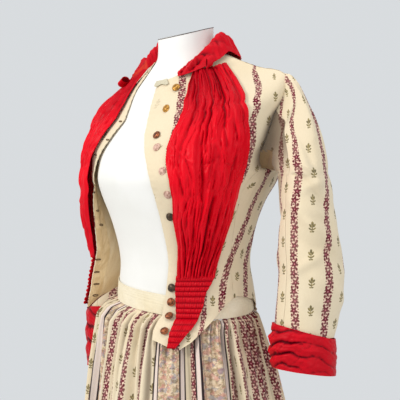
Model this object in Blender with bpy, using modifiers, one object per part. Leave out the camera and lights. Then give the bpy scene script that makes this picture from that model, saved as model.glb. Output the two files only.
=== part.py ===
"""Two-piece dress of the 1880s on a limbless dress form: open bodice, gathered satin fronts, gathered skirt.

Metres, +Z up. The wearer faces -Y and their left is +X. The origin is on the floor, in the middle of the
stand's base. Angles go round the body: 0 at the centre front, 90 degrees at the wearer's left side.
Every cloth piece is a wall between an outer and an inner grid, both worked out from the tables below.
"""

import bpy
import bmesh
import numpy as np
from mathutils import Matrix
from mathutils.bvhtree import BVHTree

CLOTH = 0.0015
SATIN = 0.0015
SEAM = 0.0003
REST = 0.0012
LAYER = 0.0008
RIGHT_LAYER = 0.0027

FORM_COLUMNS = 28

BASE_RADIUS = 0.190
BASE_HEIGHT = 0.012
BASE_BEVEL = 0.003
POLE_RADIUS = 0.016

HEM_HEIGHT = 0.018
WAISTBAND_HEIGHT = 0.031
WAISTBAND_BOTTOM = 0.963
WAISTBAND_DROP_LEFT = 0.0185
WAISTBAND_DROP_FRONT = 0.0106
WAISTBAND_THICKNESS = 0.002
SKIRT_TOP = 0.948
RISE_ENDS = 0.860
OVER_SKIRT = 0.0025
SHOULDER_EASE = 0.0021
EASE_SPREAD = 1.9
GATHERS = 44

BUTTON_RADIUS = 0.0068
BUTTON_HEIGHT = 0.0042
BUTTON_SIDES = 9
BUTTON_SEAT = 0.0003
BUTTON_REACH = 0.02
BUTTON_PROFILE = ((0.72, 0.0), (1.0, 0.35), (0.82, 0.75), (0.45, 1.0))



def named(columns, rows):
    """A table as arrays under the names of its columns, the key first."""
    return dict(zip(columns, np.array(rows, float).T))


COLOURS = {
    "form": ((0.90, 0.88, 0.84), 0.75, 0.0),
    "stand": ((0.55, 0.55, 0.55), 0.35, 0.9),
    "print": ((0.86, 0.75, 0.50), 0.85, 0.0),
    "satin": ((0.68, 0.01, 0.03), 0.45, 0.0),
    "cream": ((0.88, 0.80, 0.58), 0.85, 0.0),
    "brass": ((0.55, 0.30, 0.12), 0.35, 1.0),
}

# Rings of the figure, from the neck down. Lengths in metres; rise is how z runs from side to front and back.
BODY_COLUMNS = ("half_width", "centre_y", "front_y", "back_y", "exponent",
                "z_front", "z_side", "z_back", "rise", "bust", "blade")
BODY_RINGS = {
    "neck_top": (0.047, 0.000, -0.047, 0.047, 2.00, 1.403, 1.418, 1.432, 1.00, 0, 0),
    "neck_mid": (0.047, 0.000, -0.049, 0.049, 2.00, 1.362, 1.401, 1.410, 1.00, 0, 0),
    "neck_base": (0.057, 0.002, -0.064, 0.062, 2.00, 1.334, 1.385, 1.388, 1.00, 0, 0),
    "yoke": (0.092, 0.013, -0.073, 0.090, 2.10, 1.311, 1.371, 1.361, 0.80, 0, 0),
    "shoulder": (0.140, 0.029, -0.080, 0.109, 2.20, 1.290, 1.353, 1.328, 0.65, 0, 0),
    "shoulder_tip": (0.186, 0.043, -0.088, 0.123, 2.30, 1.266, 1.338, 1.292, 0.60, 0, 0.002),
    "armhole": (0.184, 0.041, -0.102, 0.131, 2.45, 1.240, 1.285, 1.250, 0.80, 0.001, 0.004),
    "chest": (0.174, 0.032, -0.116, 0.134, 2.50, 1.215, 1.235, 1.215, 0.90, 0.003, 0.005),
    "underarm": (0.158, 0.018, -0.127, 0.130, 2.50, 1.193, 1.197, 1.190, 1.00, 0.005, 0.005),
    "bust_line": (0.149, 0.005, -0.131, 0.120, 2.55, 1.168, 1.168, 1.164, 1.00, 0.006, 0.003),
    "under_bust": (0.140, 0.000, -0.124, 0.107, 2.50, 1.140, 1.140, 1.138, 1.00, 0.003, 0),
    "rib": (0.130, 0.000, -0.112, 0.093, 2.35, 1.104, 1.104, 1.104, 1.00, 0, 0),
    "high_waist": (0.121, 0.000, -0.101, 0.083, 2.25, 1.062, 1.062, 1.062, 1.00, 0, 0),
    "waist": (0.118, 0.000, -0.097, 0.080, 2.20, 1.030, 1.030, 1.030, 1.00, 0, 0),
    "low_waist": (0.121, 0.000, -0.097, 0.083, 2.20, 1.000, 1.000, 1.000, 1.00, 0, 0),
    "high_hip": (0.124, 0.000, -0.095, 0.087, 2.20, 0.965, 0.965, 0.965, 1.00, 0, 0),
    "hip": (0.124, 0.000, -0.092, 0.088, 2.20, 0.905, 0.905, 0.905, 1.00, 0, 0),
    "form_foot": (0.120, 0.000, -0.090, 0.088, 2.20, 0.845, 0.845, 0.845, 1.00, 0, 0),
}
RING = {name: index for index, name in enumerate(BODY_RINGS)}
COLUMN = {name: index for index, name in enumerate(BODY_COLUMNS)}
BODY = np.array(list(BODY_RINGS.values()), float)
BUST_ANGLE = 38.0
BLADE_ANGLE = 140.0
LOBE_SPREAD = 20.0

# The skirt's mean surface, from the waistband down to the hem, and the height of its folds.
SKIRT = named(("z", "half_left", "half_right", "front_y", "back_y", "small_fold", "large_fold"), (
    (SKIRT_TOP, 0.1312, 0.1318, -0.1012, 0.0944, 0.0006, 0.0000),
    (0.938, 0.1340, 0.1540, -0.1100, 0.0990, 0.0025, 0.0005),
    (0.925, 0.1370, 0.1670, -0.1200, 0.1040, 0.0040, 0.0015),
    (0.900, 0.1430, 0.1700, -0.1270, 0.1150, 0.0045, 0.0030),
    (0.860, 0.1560, 0.1730, -0.1370, 0.1330, 0.0035, 0.0060),
    (0.790, 0.1720, 0.1760, -0.1480, 0.1520, 0.0020, 0.0090),
    (0.560, 0.2200, 0.2220, -0.1900, 0.2080, 0.0010, 0.0140),
    (HEM_HEIGHT, 0.3050, 0.3050, -0.2750, 0.3250, 0.0000, 0.0200),
))

# How far the bodice's inner face stands off the figure below the waist, over waistband and gathers.
BASQUE = named(("z", "skirt_share", "stand_off"), (
    (1.050, 0.00, REST),
    (1.010, 0.00, 0.0038),
    (0.985, 0.10, 0.0042),
    (0.965, 0.60, 0.0044),
    (0.950, 1.00, 0.0044),
    (0.860, 1.00, 0.0044),
))


def wave(x):
    return np.cos(2.0 * np.pi * x)


def smooth(t):
    t = np.clip(t, 0.0, 1.0)
    return t * t * (3.0 - 2.0 * t)


def table(rows, height, column):
    """A column of a table whose key is a falling height, read at the heights given."""
    return np.interp(-np.asarray(height, float), -rows["z"], rows[column])


def at(rows, key, column):
    """A column of a table whose first column rises, read at the keys given."""
    return np.interp(key, next(iter(rows.values())), rows[column])


def ring_values(s):
    """The body's columns at ring position s (0 at the neck top), on a smooth curve through the rings."""
    s = np.clip(np.asarray(s, float), 0.0, len(BODY) - 1.0)
    low = np.minimum(s.astype(int), len(BODY) - 2)
    t = (s - low)[..., None]
    before = BODY[np.maximum(low - 1, 0)]
    here = BODY[low]
    after = BODY[low + 1]
    beyond = BODY[np.minimum(low + 2, len(BODY) - 1)]
    return 0.5 * (2.0 * here + (after - before) * t
                  + (2.0 * before - 5.0 * here + 4.0 * after - beyond) * t ** 2
                  + (3.0 * here - before - 3.0 * after + beyond) * t ** 3)


def lobe(degrees, centre):
    return np.exp(-((np.abs(degrees) - centre) / LOBE_SPREAD) ** 2)


def body_point(theta, s):
    """A point of the bare figure: a superellipse ring at angle theta in degrees, with bust and blades."""
    theta = np.asarray(theta, float)
    width, centre, front, back, power, z_front, z_side, z_back, rise, bust, blade = np.moveaxis(
        ring_values(s), -1, 0)
    sine, cosine = np.sin(np.radians(theta)), np.cos(np.radians(theta))
    across = np.sign(sine) * np.abs(sine) ** (2.0 / power)
    along = np.abs(cosine) ** (2.0 / power)
    forward = cosine > 0.0
    swell = bust * lobe(theta, BUST_ANGLE) + blade * lobe(theta, BLADE_ANGLE)
    depth = np.where(forward, front - centre, back - centre)
    x = width * across + swell * sine
    y = centre + depth * along - swell * cosine
    z = z_side + np.where(forward, z_front - z_side, z_back - z_side) * along ** rise
    return np.stack([x, y, z], -1)


def outward(point, theta, s):
    """The unit normal of a surface point(theta, s), pointing away from the body."""
    step_theta, step_s = 1.0, 0.04
    across = point(theta + step_theta, s) - point(theta - step_theta, s)
    down = point(theta, np.minimum(s + step_s, len(BODY) - 1.0)) - point(theta, np.maximum(s - step_s, 0.0))
    normal = np.cross(down, across)
    return normal / np.linalg.norm(normal, axis=-1, keepdims=True)


def s_of_z(z):
    """Ring position of a height below the bust, where the rings are level."""
    return np.interp(-np.asarray(z, float), -BODY[:, COLUMN["z_side"]], np.arange(len(BODY)))


def theta_of_x(x, s):
    """The angle in front of the body at which a ring is x away from the centre."""
    values = ring_values(s)
    ratio = np.clip(np.abs(x) / values[..., COLUMN["half_width"]], 0.0, 1.0)
    return np.sign(x) * np.degrees(np.arcsin(ratio ** (values[..., COLUMN["exponent"]] / 2.0)))


def skirt_point(theta, z, folds=1.0, offset=0.0):
    """The skirt at an angle and height: mean oval, with large folds and the small gathers of the waist."""
    theta = np.asarray(theta, float)
    sine, cosine = np.sin(np.radians(theta)), np.cos(np.radians(theta))
    half = np.where(sine > 0.0, table(SKIRT, z, "half_left"), table(SKIRT, z, "half_right"))
    deep = np.where(cosine > 0.0, -table(SKIRT, z, "front_y"), table(SKIRT, z, "back_y"))
    turns = theta / 360.0
    uneven = turns + 0.006 * wave(3.0 * turns + 0.2) + 0.004 * wave(7.0 * turns + 0.6)
    small = table(SKIRT, z, "small_fold") * wave(GATHERS * uneven)
    large = table(SKIRT, z, "large_fold") * (0.75 * wave(GATHERS / 2.0 * uneven + 0.1)
                                  + 0.35 * wave(11.0 * turns + 0.3))
    out = folds * (small + large) + offset
    x = (half + out) * sine
    y = -(deep + out) * cosine
    return np.stack([x, y, z + 0.0 * x], -1)


def band_bottom(theta):
    """Height of the waistband's lower edge, which is higher at the back and on the wearer's right."""
    turn = np.radians(theta)
    return WAISTBAND_BOTTOM - WAISTBAND_DROP_LEFT * np.sin(turn) - WAISTBAND_DROP_FRONT * np.cos(turn)


def band_shift(theta):
    """How far the waistband lies above its height at the front."""
    return band_bottom(theta) - band_bottom(0.0)


def skirt_rise(theta, level):
    """How far the skirt's upper part is lifted or lowered to meet the tilted waistband."""
    near_top = smooth((level - RISE_ENDS) / (SKIRT_TOP - RISE_ENDS))
    return (band_bottom(theta) - SEAM - SKIRT_TOP) * near_top


def bodice_point(theta, s, off):
    """A point of the bodice, off metres outside its inner face, over the figure and the skirt's top."""
    base = body_point(theta, s)
    z = base[..., 2]
    shoulder = SHOULDER_EASE * np.exp(-((np.asarray(s) - RING["armhole"]) / EASE_SPREAD) ** 2)
    held = z - band_shift(theta)
    stand_off = np.where(held < BASQUE["z"][0], table(BASQUE, held, "stand_off"), REST) + shoulder
    out = outward(body_point, theta, s)
    worn = base + out * (stand_off + off)[..., None]
    level = z - skirt_rise(theta, z)
    envelope = table(SKIRT, level, "small_fold") + 1.1 * table(SKIRT, level, "large_fold") + OVER_SKIRT
    over = skirt_point(theta, level, 0.0, envelope + off)
    over[..., 2] = z
    share = table(BASQUE, held, "skirt_share")[..., None]
    return worn * (1.0 - share) + over * share


def faces_of_grid(rows, columns, start, flip):
    """Quads of a grid of points numbered by rows from start."""
    faces = []
    for i in range(rows - 1):
        for j in range(columns - 1):
            a = start + i * columns + j
            quad = (a, a + 1, a + columns + 1, a + columns)
            faces.append(quad[::-1] if flip else quad)
    return faces


def add_object(name, points, faces, colour):
    mesh = bpy.data.meshes.new(name)
    mesh.from_pydata([tuple(point) for point in points], [], faces)
    grid = bmesh.new()
    grid.from_mesh(mesh)
    bmesh.ops.remove_doubles(grid, verts=grid.verts, dist=1e-6)
    bmesh.ops.recalc_face_normals(grid, faces=grid.faces)
    grid.to_mesh(mesh)
    grid.free()
    mesh.validate()
    mesh.shade_smooth()
    return place_object(name, mesh, colour)


def place_object(name, mesh, colour):
    thing = bpy.data.objects.new(name, mesh)
    mesh.materials.clear()
    mesh.materials.append(MATERIALS[colour])
    DRESS.objects.link(thing)
    return thing


def wall(name, outer, inner, colour, ring=False):
    """A closed cloth wall between two grids of points, rimmed all round. A ring joins its last column."""
    if ring:
        outer = np.concatenate([outer, outer[:, :1]], 1)
        inner = np.concatenate([inner, inner[:, :1]], 1)
    rows, columns = outer.shape[:2]
    count = rows * columns
    points = np.concatenate([outer.reshape(-1, 3), inner.reshape(-1, 3)])
    faces = faces_of_grid(rows, columns, 0, False) + faces_of_grid(rows, columns, count, True)
    edge = [(0, j, 0, j + 1) for j in range(columns - 1)]
    edge += [(rows - 1, j + 1, rows - 1, j) for j in range(columns - 1)]
    if not ring:
        edge += [(i + 1, 0, i, 0) for i in range(rows - 1)]
        edge += [(i, columns - 1, i + 1, columns - 1) for i in range(rows - 1)]
    for i, j, k, m in edge:
        a, b = i * columns + j, k * columns + m
        faces.append((b, a, a + count, b + count))
    return add_object(name, points, faces, colour)


def make_materials():
    for name, (colour, rough, metal) in COLOURS.items():
        material = bpy.data.materials.new(name)
        material.use_nodes = True
        shader = material.node_tree.nodes["Principled BSDF"]
        shader.inputs["Base Color"].default_value = (*colour, 1.0)
        shader.inputs["Roughness"].default_value = rough
        shader.inputs["Metallic"].default_value = metal
        MATERIALS[name] = material


# Dress form and its stand

def make_form():
    """The torso is a loft through the body's rings, capped flat at the slanted neck and at the foot."""
    rows = np.concatenate([np.arange(0.0, 14.0, 1.0), [14.0, 15.0, 16.0, 17.0]])
    theta = np.arange(FORM_COLUMNS) * 360.0 / FORM_COLUMNS
    grid_s, grid_theta = np.meshgrid(rows, theta, indexing="ij")
    points = body_point(grid_theta, grid_s)
    count = len(rows)
    faces = []
    for i in range(count - 1):
        for j in range(FORM_COLUMNS):
            k = (j + 1) % FORM_COLUMNS
            a, b = i * FORM_COLUMNS, (i + 1) * FORM_COLUMNS
            faces.append((a + j, b + j, b + k, a + k))
    faces.append(tuple(range(FORM_COLUMNS)))
    faces.append(tuple(reversed([(count - 1) * FORM_COLUMNS + j for j in range(FORM_COLUMNS)])))
    add_object("form_torso", points.reshape(-1, 3), faces, "form")


def make_stand():
    """A turned base plate and a straight pole under the torso."""
    foot = BODY_RINGS["form_foot"][COLUMN["z_side"]]
    length = foot - BASE_HEIGHT - 2.0 * SEAM
    bpy.ops.mesh.primitive_cylinder_add(vertices=16, radius=POLE_RADIUS, depth=length)
    pole = bpy.context.object
    pole.name = "form_pole"
    pole.location = (0.0, 0.0, BASE_HEIGHT + SEAM + length / 2.0)
    bpy.ops.mesh.primitive_cylinder_add(vertices=32, radius=BASE_RADIUS, depth=BASE_HEIGHT)
    base = bpy.context.object
    base.name = "form_base"
    base.location = (0.0, 0.0, BASE_HEIGHT / 2.0)
    bevel = base.modifiers.new("rounded rim", "BEVEL")
    bevel.width = BASE_BEVEL
    bevel.segments = 1
    bevel.limit_method = "ANGLE"
    for thing in (pole, base):
        for collection in thing.users_collection:
            collection.objects.unlink(thing)
        DRESS.objects.link(thing)
        thing.data.materials.append(MATERIALS["stand"])
        thing.data.shade_smooth()
        thing.data.set_sharp_from_angle(angle=0.7)


# Bodice seams and edges, as angles at ring positions

ARMHOLE = named(("s", "front_angle", "back_angle"), (
    (5.0, 90.0, 90.0),
    (5.4, 87.0, 97.0),
    (6.0, 83.5, 107.0),
    (6.6, 83.0, 110.0),
    (7.4, 84.5, 108.0),
    (8.25, 91.0, 92.0),
))
BACK_SEAM = named(("s", "angle"), (
    (6.6, 111.0), (7.4, 117.0), (8.25, 124.0), (10.0, 134.0), (13.0, 143.0), (17.0, 141.0),
))
SIDE_SEAM = named(("s", "angle"), (
    (8.25, 91.0), (9.0, 88.0), (11.0, 84.0), (14.0, 82.0), (17.0, 82.0),
))
NECKLINE = 2.15
FRONT_EDGE = named(("s", "left_x", "right_x"), (
    (2.15, 0.004, -0.052),
    (3.0, 0.002, -0.064),
    (4.0, 0.001, -0.058),
    (5.0, 0.002, -0.059),
    (6.0, 0.010, -0.076),
    (7.0, 0.0245, -0.091),
    (8.0, 0.040, -0.099),
    (9.0, 0.0505, -0.103),
    (10.0, 0.052, -0.103),
    (11.0, 0.051, -0.101),
    (13.0, 0.0525, -0.099),
    (14.0, 0.051, -0.098),
    (15.5, 0.045, -0.098),
    (17.0, 0.050, -0.098),
))
BASQUE_HEM = named(("angle", "left_z", "right_z"), (
    (0.0, 0.925, 0.948),
    (22.0, 0.907, 0.948),
    (36.0, 0.893, 0.948),
    (45.0, 0.906, 0.948),
    (52.0, 0.921, 0.949),
    (58.0, 0.935, 0.957),
    (64.0, 0.948, 0.969),
    (72.0, 0.964, 0.981),
    (86.0, 0.976, 0.985),
    (110.0, 0.970, 0.978),
    (140.0, 0.948, 0.954),
    (180.0, 0.930, 0.930),
))



def basque_rows(upper, theta_at, side):
    """Ring positions of a panel's rows: the ones given, then even steps to the basque's edge."""
    hem_theta = np.abs(theta_at(np.full(1, 15.5)))
    hem_z = at(BASQUE_HEM, hem_theta, "left_z" if side > 0 else "right_z")
    start = BODY_RINGS["low_waist"][COLUMN["z_side"]]
    steps = np.linspace(0.0, 1.0, BASQUE_STEPS)[1:]
    lower = s_of_z(start + (hem_z - start) * steps)
    return np.concatenate([upper, lower])


def panel_grid(upper, left, right, columns, side):
    """Angles and ring positions of a panel between two edge lines, for one side of the body."""
    share = np.linspace(0.0, 1.0, columns)
    grid_theta, grid_s = [], []
    for u in share:
        def theta_at(s, u=u):
            return left(s) * (1.0 - u) + right(s) * u
        s = basque_rows(upper, theta_at, side)
        theta = theta_at(s)
        radius = ring_values(s)[..., COLUMN["half_width"]]
        shift = np.degrees(0.5 * SEAM / radius)
        theta = theta + (shift if u == 0.0 else -shift if u == 1.0 else 0.0)
        grid_theta.append(theta)
        grid_s.append(s)
    return np.array(grid_theta).T, np.array(grid_s).T


LOWER_ROWS = [8.25, 9.0, 10.0, 11.0, 12.0, 13.0, 14.0]
FRONT_ROWS = np.array([2.15, 2.6, 3.3, 4.0, 5.0, 5.4, 6.0, 6.6, 7.4] + LOWER_ROWS)
BACK_ROWS = np.array([2.15, 2.6, 3.3, 4.0, 5.0, 5.4, 6.0, 6.6, 7.4] + LOWER_ROWS)
SIDE_ROWS = np.array([6.6, 7.4] + LOWER_ROWS)
BASQUE_STEPS = 6


def side_line(s):
    """Outer edge of a front: shoulder seam, then armhole, then side seam."""
    s = np.asarray(s, float)
    armhole = at(ARMHOLE, s, "front_angle")
    seam = at(SIDE_SEAM, s, "angle")
    return np.where(s <= 5.0, 90.0, np.where(s < 8.25, armhole, seam))


def front_line(s):
    return theta_of_x(at(FRONT_EDGE, s, "left_x"), s)


def right_front_line(s):
    return -theta_of_x(at(FRONT_EDGE, s, "right_x"), s)


def armhole_back(s):
    """Outer edge of a back: shoulder seam, then armhole, then the curved seam to the side piece."""
    s = np.asarray(s, float)
    return np.where(s <= 5.0, 90.0, np.where(s < 6.6, at(ARMHOLE, s, "back_angle"), at(BACK_SEAM, s, "angle")))


def side_back_line(s):
    return at(BACK_SEAM, s, "angle")


def side_front_line(s):
    """Inner edge of the side piece: back of the armhole, then the side seam."""
    s = np.asarray(s, float)
    return np.where(s < 8.25, at(ARMHOLE, s, "back_angle"), at(SIDE_SEAM, s, "angle"))


def centre_back(s):
    return np.full(np.shape(s), 180.0)


HANG_FLARE = named(("z", "out"), ((1.050, 0.000), (1.020, 0.0045), (0.985, 0.007), (0.960, 0.012), (0.940, 0.014)))


def hang(theta, s, off, weight):
    """The right front below the bust: its points drop from the bust line and flare out, by weight."""
    on_body = bodice_point(theta, s, off)
    hanging = bodice_point(theta, np.minimum(s, RING["bust_line"]), off)
    flare = table(HANG_FLARE, on_body[..., 2], "out")
    hanging[..., 0] += flare * np.sin(np.radians(theta))
    hanging[..., 1] -= flare * np.cos(np.radians(theta))
    hanging[..., 2] = on_body[..., 2]
    return on_body * (1.0 - weight[..., None]) + hanging * weight[..., None]


def hang_weight(theta, s):
    """1 at the right front's free edge and 0 at its side seam, fading in below the bust."""
    seam = side_line(s)
    edge = right_front_line(s)
    share = np.clip((seam - np.abs(theta)) / (seam - edge), 0.0, 1.0)
    return share ** 0.8 * smooth((s - RING["bust_line"]) / 0.8)


def front_point(theta, s, off, side):
    """Either front, off metres outside its inner face; theta is counted from the centre front."""
    if side > 0:
        return bodice_point(theta, s, off)
    return hang(-theta, s, off, hang_weight(theta, s))


def make_bodice():
    """Fronts, side pieces and backs, mirrored but for the fronts' free edges."""
    for side, word in ((1, "left"), (-1, "right")):
        edge = front_line if side > 0 else right_front_line
        theta, s = panel_grid(FRONT_ROWS, edge, side_line, 11, side)
        wall("bodice_front_" + word, front_point(theta, s, CLOTH, side),
             front_point(theta, s, 0.0, side), "print")
        theta, s = panel_grid(SIDE_ROWS, side_front_line, side_back_line, 6, side)
        wall("bodice_side_" + word, bodice_point(side * theta, s, CLOTH),
             bodice_point(side * theta, s, 0.0), "print")
        theta, s = panel_grid(BACK_ROWS, armhole_back, centre_back, 8, side)
        wall("bodice_back_" + word, bodice_point(side * theta, s, CLOTH),
             bodice_point(side * theta, s, 0.0), "print")


# Gathered satin fronts

PLASTRON = named(("s", "inner_angle", "outer_angle", "puff"), (
    (2.3, 57.0, 80.0, 0.001),
    (3.0, 41.0, 84.0, 0.002),
    (4.0, 27.5, 72.0, 0.004),
    (5.0, 20.5, 60.0, 0.006),
    (6.0, 19.0, 65.0, 0.008),
    (7.0, 20.0, 72.0, 0.010),
    (8.0, 25.0, 79.0, 0.011),
    (9.0, 30.0, 82.0, 0.012),
    (10.0, 32.0, 82.0, 0.014),
    (11.0, 31.0, 79.0, 0.014),
    (12.0, 33.5, 73.0, 0.010),
    (13.0, 32.5, 68.0, 0.004),
    (13.6, 32.0, 65.0, 0.001),
))
PLASTRON_TOP = 2.3
PLASTRON_TOP_SLOPE = 0.75
PLASTRON_FOLDS = 7
PLASTRON_FOLD_HEIGHT = 0.0030
PLASTRON_ROWS = 11
SHIRR_ROWS = 13
SHIRR_HEIGHT = 0.0018
SHIRR_CLEARANCE = 0.0027
SHIRR_SPAN = {"left": (1.012, 0.898), "right": (1.042, 0.956)}
SHIRR = named(("share", "inner_angle", "outer_angle"), (
    (0.00, 32.0, 65.0),
    (0.25, 30.5, 56.0),
    (0.48, 31.0, 51.0),
    (0.75, 31.5, 45.0),
    (1.00, 31.0, 36.0),
))
RIGHT_STRIP = named(("s", "angle", "extra_puff"), (
    (2.0, 6.0, 0.000),
    (7.0, 6.0, 0.002),
    (8.0, 5.5, 0.007),
    (9.0, 3.0, 0.015),
    (10.5, 2.5, 0.018),
    (12.2, 2.0, 0.017),
    (12.7, 1.2, 0.004),
    (17.0, 1.0, 0.003),
))


def right_share(theta, s):
    """An angle on the left front carried to the right front, at the same share of its width."""
    share = (theta - front_line(s)) / (side_line(s) - front_line(s))
    return right_front_line(s) + share * (side_line(s) - right_front_line(s))


def make_plastrons():
    """Satin gathered at neck and shoulder, full over the bust, drawn in at the waist."""
    columns = PLASTRON_FOLDS * 4 + 1
    u = np.linspace(0.0, 1.0, columns)
    v = np.linspace(0.0, 1.0, PLASTRON_ROWS)
    for side, word in ((1, "left"), (-1, "right")):
        end = float(s_of_z(SHIRR_SPAN[word][0]))
        top = PLASTRON_TOP + PLASTRON_TOP_SLOPE * u
        s = top[None, :] + (end - top[None, :]) * v[:, None]
        inner = at(PLASTRON, s, "inner_angle")
        outer = at(PLASTRON, s, "outer_angle")
        lean = 0.018 * wave(0.7 * v[:, None] + 2.0 * u[None, :])
        spread = np.clip(u[None, :] + lean * np.sin(np.pi * u)[None, :], 0.0, 1.0)
        theta = inner + (outer - inner) * spread
        if side < 0:
            free = right_front_line(s) + at(RIGHT_STRIP, s, "angle")
            theta = free + (right_share(outer, s) - free) * spread
        arch = np.sin(np.pi * np.clip(u, 0.02, 0.98)) ** 0.6
        puff = at(PLASTRON, s, "puff") * arch[None, :]
        if side < 0:
            puff = puff + at(RIGHT_STRIP, s, "extra_puff") * arch[None, :]
        fade = (smooth((1.0 - v[:, None]) / 0.08) * 0.75 + 0.25) * (0.35 + 0.65 * smooth(v[:, None] / 0.2))
        fold = PLASTRON_FOLD_HEIGHT * fade * (0.5 + 0.5 * wave(PLASTRON_FOLDS * u[None, :] + 0.5))
        lift = CLOTH + (LAYER if side > 0 else RIGHT_LAYER) + puff + fold
        wall("plastron_" + word, front_point(theta, s, lift + SATIN, side),
             front_point(theta, s, lift, side), "satin")
        make_shirring(word, side)


def make_shirring(word, side):
    """The drawn-in point below: raised rows over a plain inside."""
    rows = SHIRR_ROWS * 2 + 1
    columns = 5
    top, tip = SHIRR_SPAN[word]
    u = np.linspace(0.0, 1.0, columns)
    v = np.linspace(0.0, 1.0, rows)
    z = top - 2.0 * SEAM + (tip - top) * v[:, None] + 0.0 * u[None, :]
    inner = at(SHIRR, v, "inner_angle")[:, None]
    outer = at(SHIRR, v, "outer_angle")[:, None]
    s = s_of_z(z)
    extra = 0.0
    if side < 0:
        inner = right_front_line(s) + at(RIGHT_STRIP, s, "angle")
        outer = right_share(outer, s)
        extra = at(RIGHT_STRIP, s, "extra_puff") * np.sin(np.pi * np.clip(u, 0.25, 0.9))[None, :]
    theta = inner + (outer - inner) * u[None, :]
    row = 0.5 - 0.5 * wave(SHIRR_ROWS * v[:, None])
    lift = CLOTH + SHIRR_CLEARANCE + extra
    height = lift + SATIN + SHIRR_HEIGHT * row * (0.8 + 0.2 * wave(2.0 * u[None, :]))
    wall("shirring_" + word, front_point(theta, s, height, side),
         front_point(theta, s, lift + 0.0 * theta, side), "satin")


# Sleeves and cuffs

SLEEVE_COLUMNS = ("z", "out", "near", "half_out", "half_near")
SLEEVES = {
    "left": named(SLEEVE_COLUMNS, (
        (1.172, 0.1925, 0.128, 0.036, 0.058),
        (1.108, 0.1960, 0.142, 0.044, 0.056),
        (1.060, 0.1990, 0.150, 0.049, 0.053),
        (1.020, 0.2020, 0.156, 0.051, 0.050),
        (0.975, 0.1985, 0.162, 0.051, 0.046),
        (0.935, 0.1920, 0.167, 0.048, 0.043),
        (0.918, 0.1890, 0.169, 0.046, 0.041),
    )),
    "right": named(SLEEVE_COLUMNS, (
        (1.172, 0.1850, 0.121, 0.040, 0.053),
        (1.108, 0.1920, 0.121, 0.045, 0.050),
        (1.060, 0.1950, 0.122, 0.048, 0.048),
        (1.020, 0.1965, 0.125, 0.049, 0.047),
        (0.975, 0.1965, 0.129, 0.048, 0.045),
        (0.935, 0.1940, 0.133, 0.046, 0.044),
        (0.918, 0.1930, 0.134, 0.045, 0.042),
    )),
}
SLEEVE_YAW = 45.0
CAP_FULLNESS = 0.034
CAP_ROWS = 4
SLEEVE_LIFT = 0.0015
SLEEVE_GAP = 0.4
UPPER_COLUMNS = 9
UNDER_COLUMNS = 6
# Where the two sleeve pieces meet, from the armhole (0) past the cap (1) to the wrist (2).
SLEEVE_SEAMS = named(("v", "front_angle", "back_angle"), (
    (0.0, 58.0, -82.0),
    (0.2, 70.0, -82.0),
    (0.6, 112.0, -84.0),
    (1.0, 146.0, -90.0),
    (2.0, 140.0, -94.0),
))


def sleeve_ring(phi, z, side, off):
    """A level ring of a sleeve. phi is 0 on the outer side and 90 in front, in degrees."""
    rows = SLEEVES["left" if side > 0 else "right"]
    out, near = table(rows, z, "out"), table(rows, z, "near")
    wide, deep = table(rows, z, "half_out") + off, table(rows, z, "half_near") + off
    yaw = np.radians(SLEEVE_YAW)
    a = out + wide * np.cos(np.radians(phi))
    b = near + deep * np.sin(np.radians(phi))
    x = a * np.cos(yaw) + b * np.sin(yaw)
    y = a * np.sin(yaw) - b * np.cos(yaw)
    return np.stack([side * x, y, z + 0.0 * x], -1)


def armhole_point(phi, side, off):
    """The armhole's edge: phi 0 at the shoulder tip, 90 in front, 180 under the arm."""
    turn = np.mod(phi, 360.0)
    forward = turn <= 180.0
    share = np.where(forward, turn, 360.0 - turn) / 180.0
    top, bottom = ARMHOLE["s"][0], ARMHOLE["s"][-1]
    s = top + (bottom - top) * (0.5 - 0.5 * np.cos(np.pi * share)) ** 0.9
    theta = np.where(forward, at(ARMHOLE, s, "front_angle"), at(ARMHOLE, s, "back_angle"))
    return bodice_point(side * theta, s, off + CLOTH)


def sleeve_point(phi, v, side, off):
    """A sleeve from its armhole (v 0) through the cap (v 1) and down to the wrist (v 2)."""
    rows = SLEEVES["left" if side > 0 else "right"]
    top_z, end_z = rows["z"][0], rows["z"][-1]
    start = armhole_point(phi, side, SLEEVE_LIFT)
    z = np.where(v <= 1.0, top_z, top_z + (end_z - top_z) * np.clip(v - 1.0, 0.0, 1.0))
    ring = sleeve_ring(phi, z, side, off)
    t = np.clip(v, 0.0, 1.0)[..., None]
    raised = (0.5 + 0.5 * np.cos(np.radians(phi)))[..., None]
    leave = np.array([side * 0.9, 0.05, -0.15]) * (CAP_FULLNESS + 0.075 * raised)
    arrive = np.array([side * 0.0, 0.0, -1.0]) * (0.03 + 0.13 * raised)
    cap = ((2 * t ** 3 - 3 * t ** 2 + 1) * (start + np.array([side, 0.0, 0.4]) * off)
           + (t ** 3 - 2 * t ** 2 + t) * leave
           + (-2 * t ** 3 + 3 * t ** 2) * ring + (t ** 3 - t ** 2) * arrive)
    return np.where((v <= 1.0)[..., None], cap, ring)


def make_sleeves():
    """Upper and under sleeve, seamed in front and behind, open at armhole and wrist."""
    v = np.concatenate([np.linspace(0.0, 1.0, CAP_ROWS + 1), np.linspace(1.0, 2.0, 7)[1:]])
    front, back = at(SLEEVE_SEAMS, v, "front_angle"), at(SLEEVE_SEAMS, v, "back_angle")
    pieces = (("upper", back, front, UPPER_COLUMNS), ("under", front, back + 360.0, UNDER_COLUMNS))
    for side, word in ((1, "left"), (-1, "right")):
        for piece, begin, end, columns in pieces:
            share = np.linspace(0.0, 1.0, columns)[None, :]
            phi = (begin + SLEEVE_GAP)[:, None] * (1.0 - share) + (end - SLEEVE_GAP)[:, None] * share
            grid_v = v[:, None] + 0.0 * phi
            wall("sleeve_" + piece + "_" + word, sleeve_point(phi, grid_v, side, CLOTH),
                 sleeve_point(phi, grid_v, side, 0.0), "print")


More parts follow.
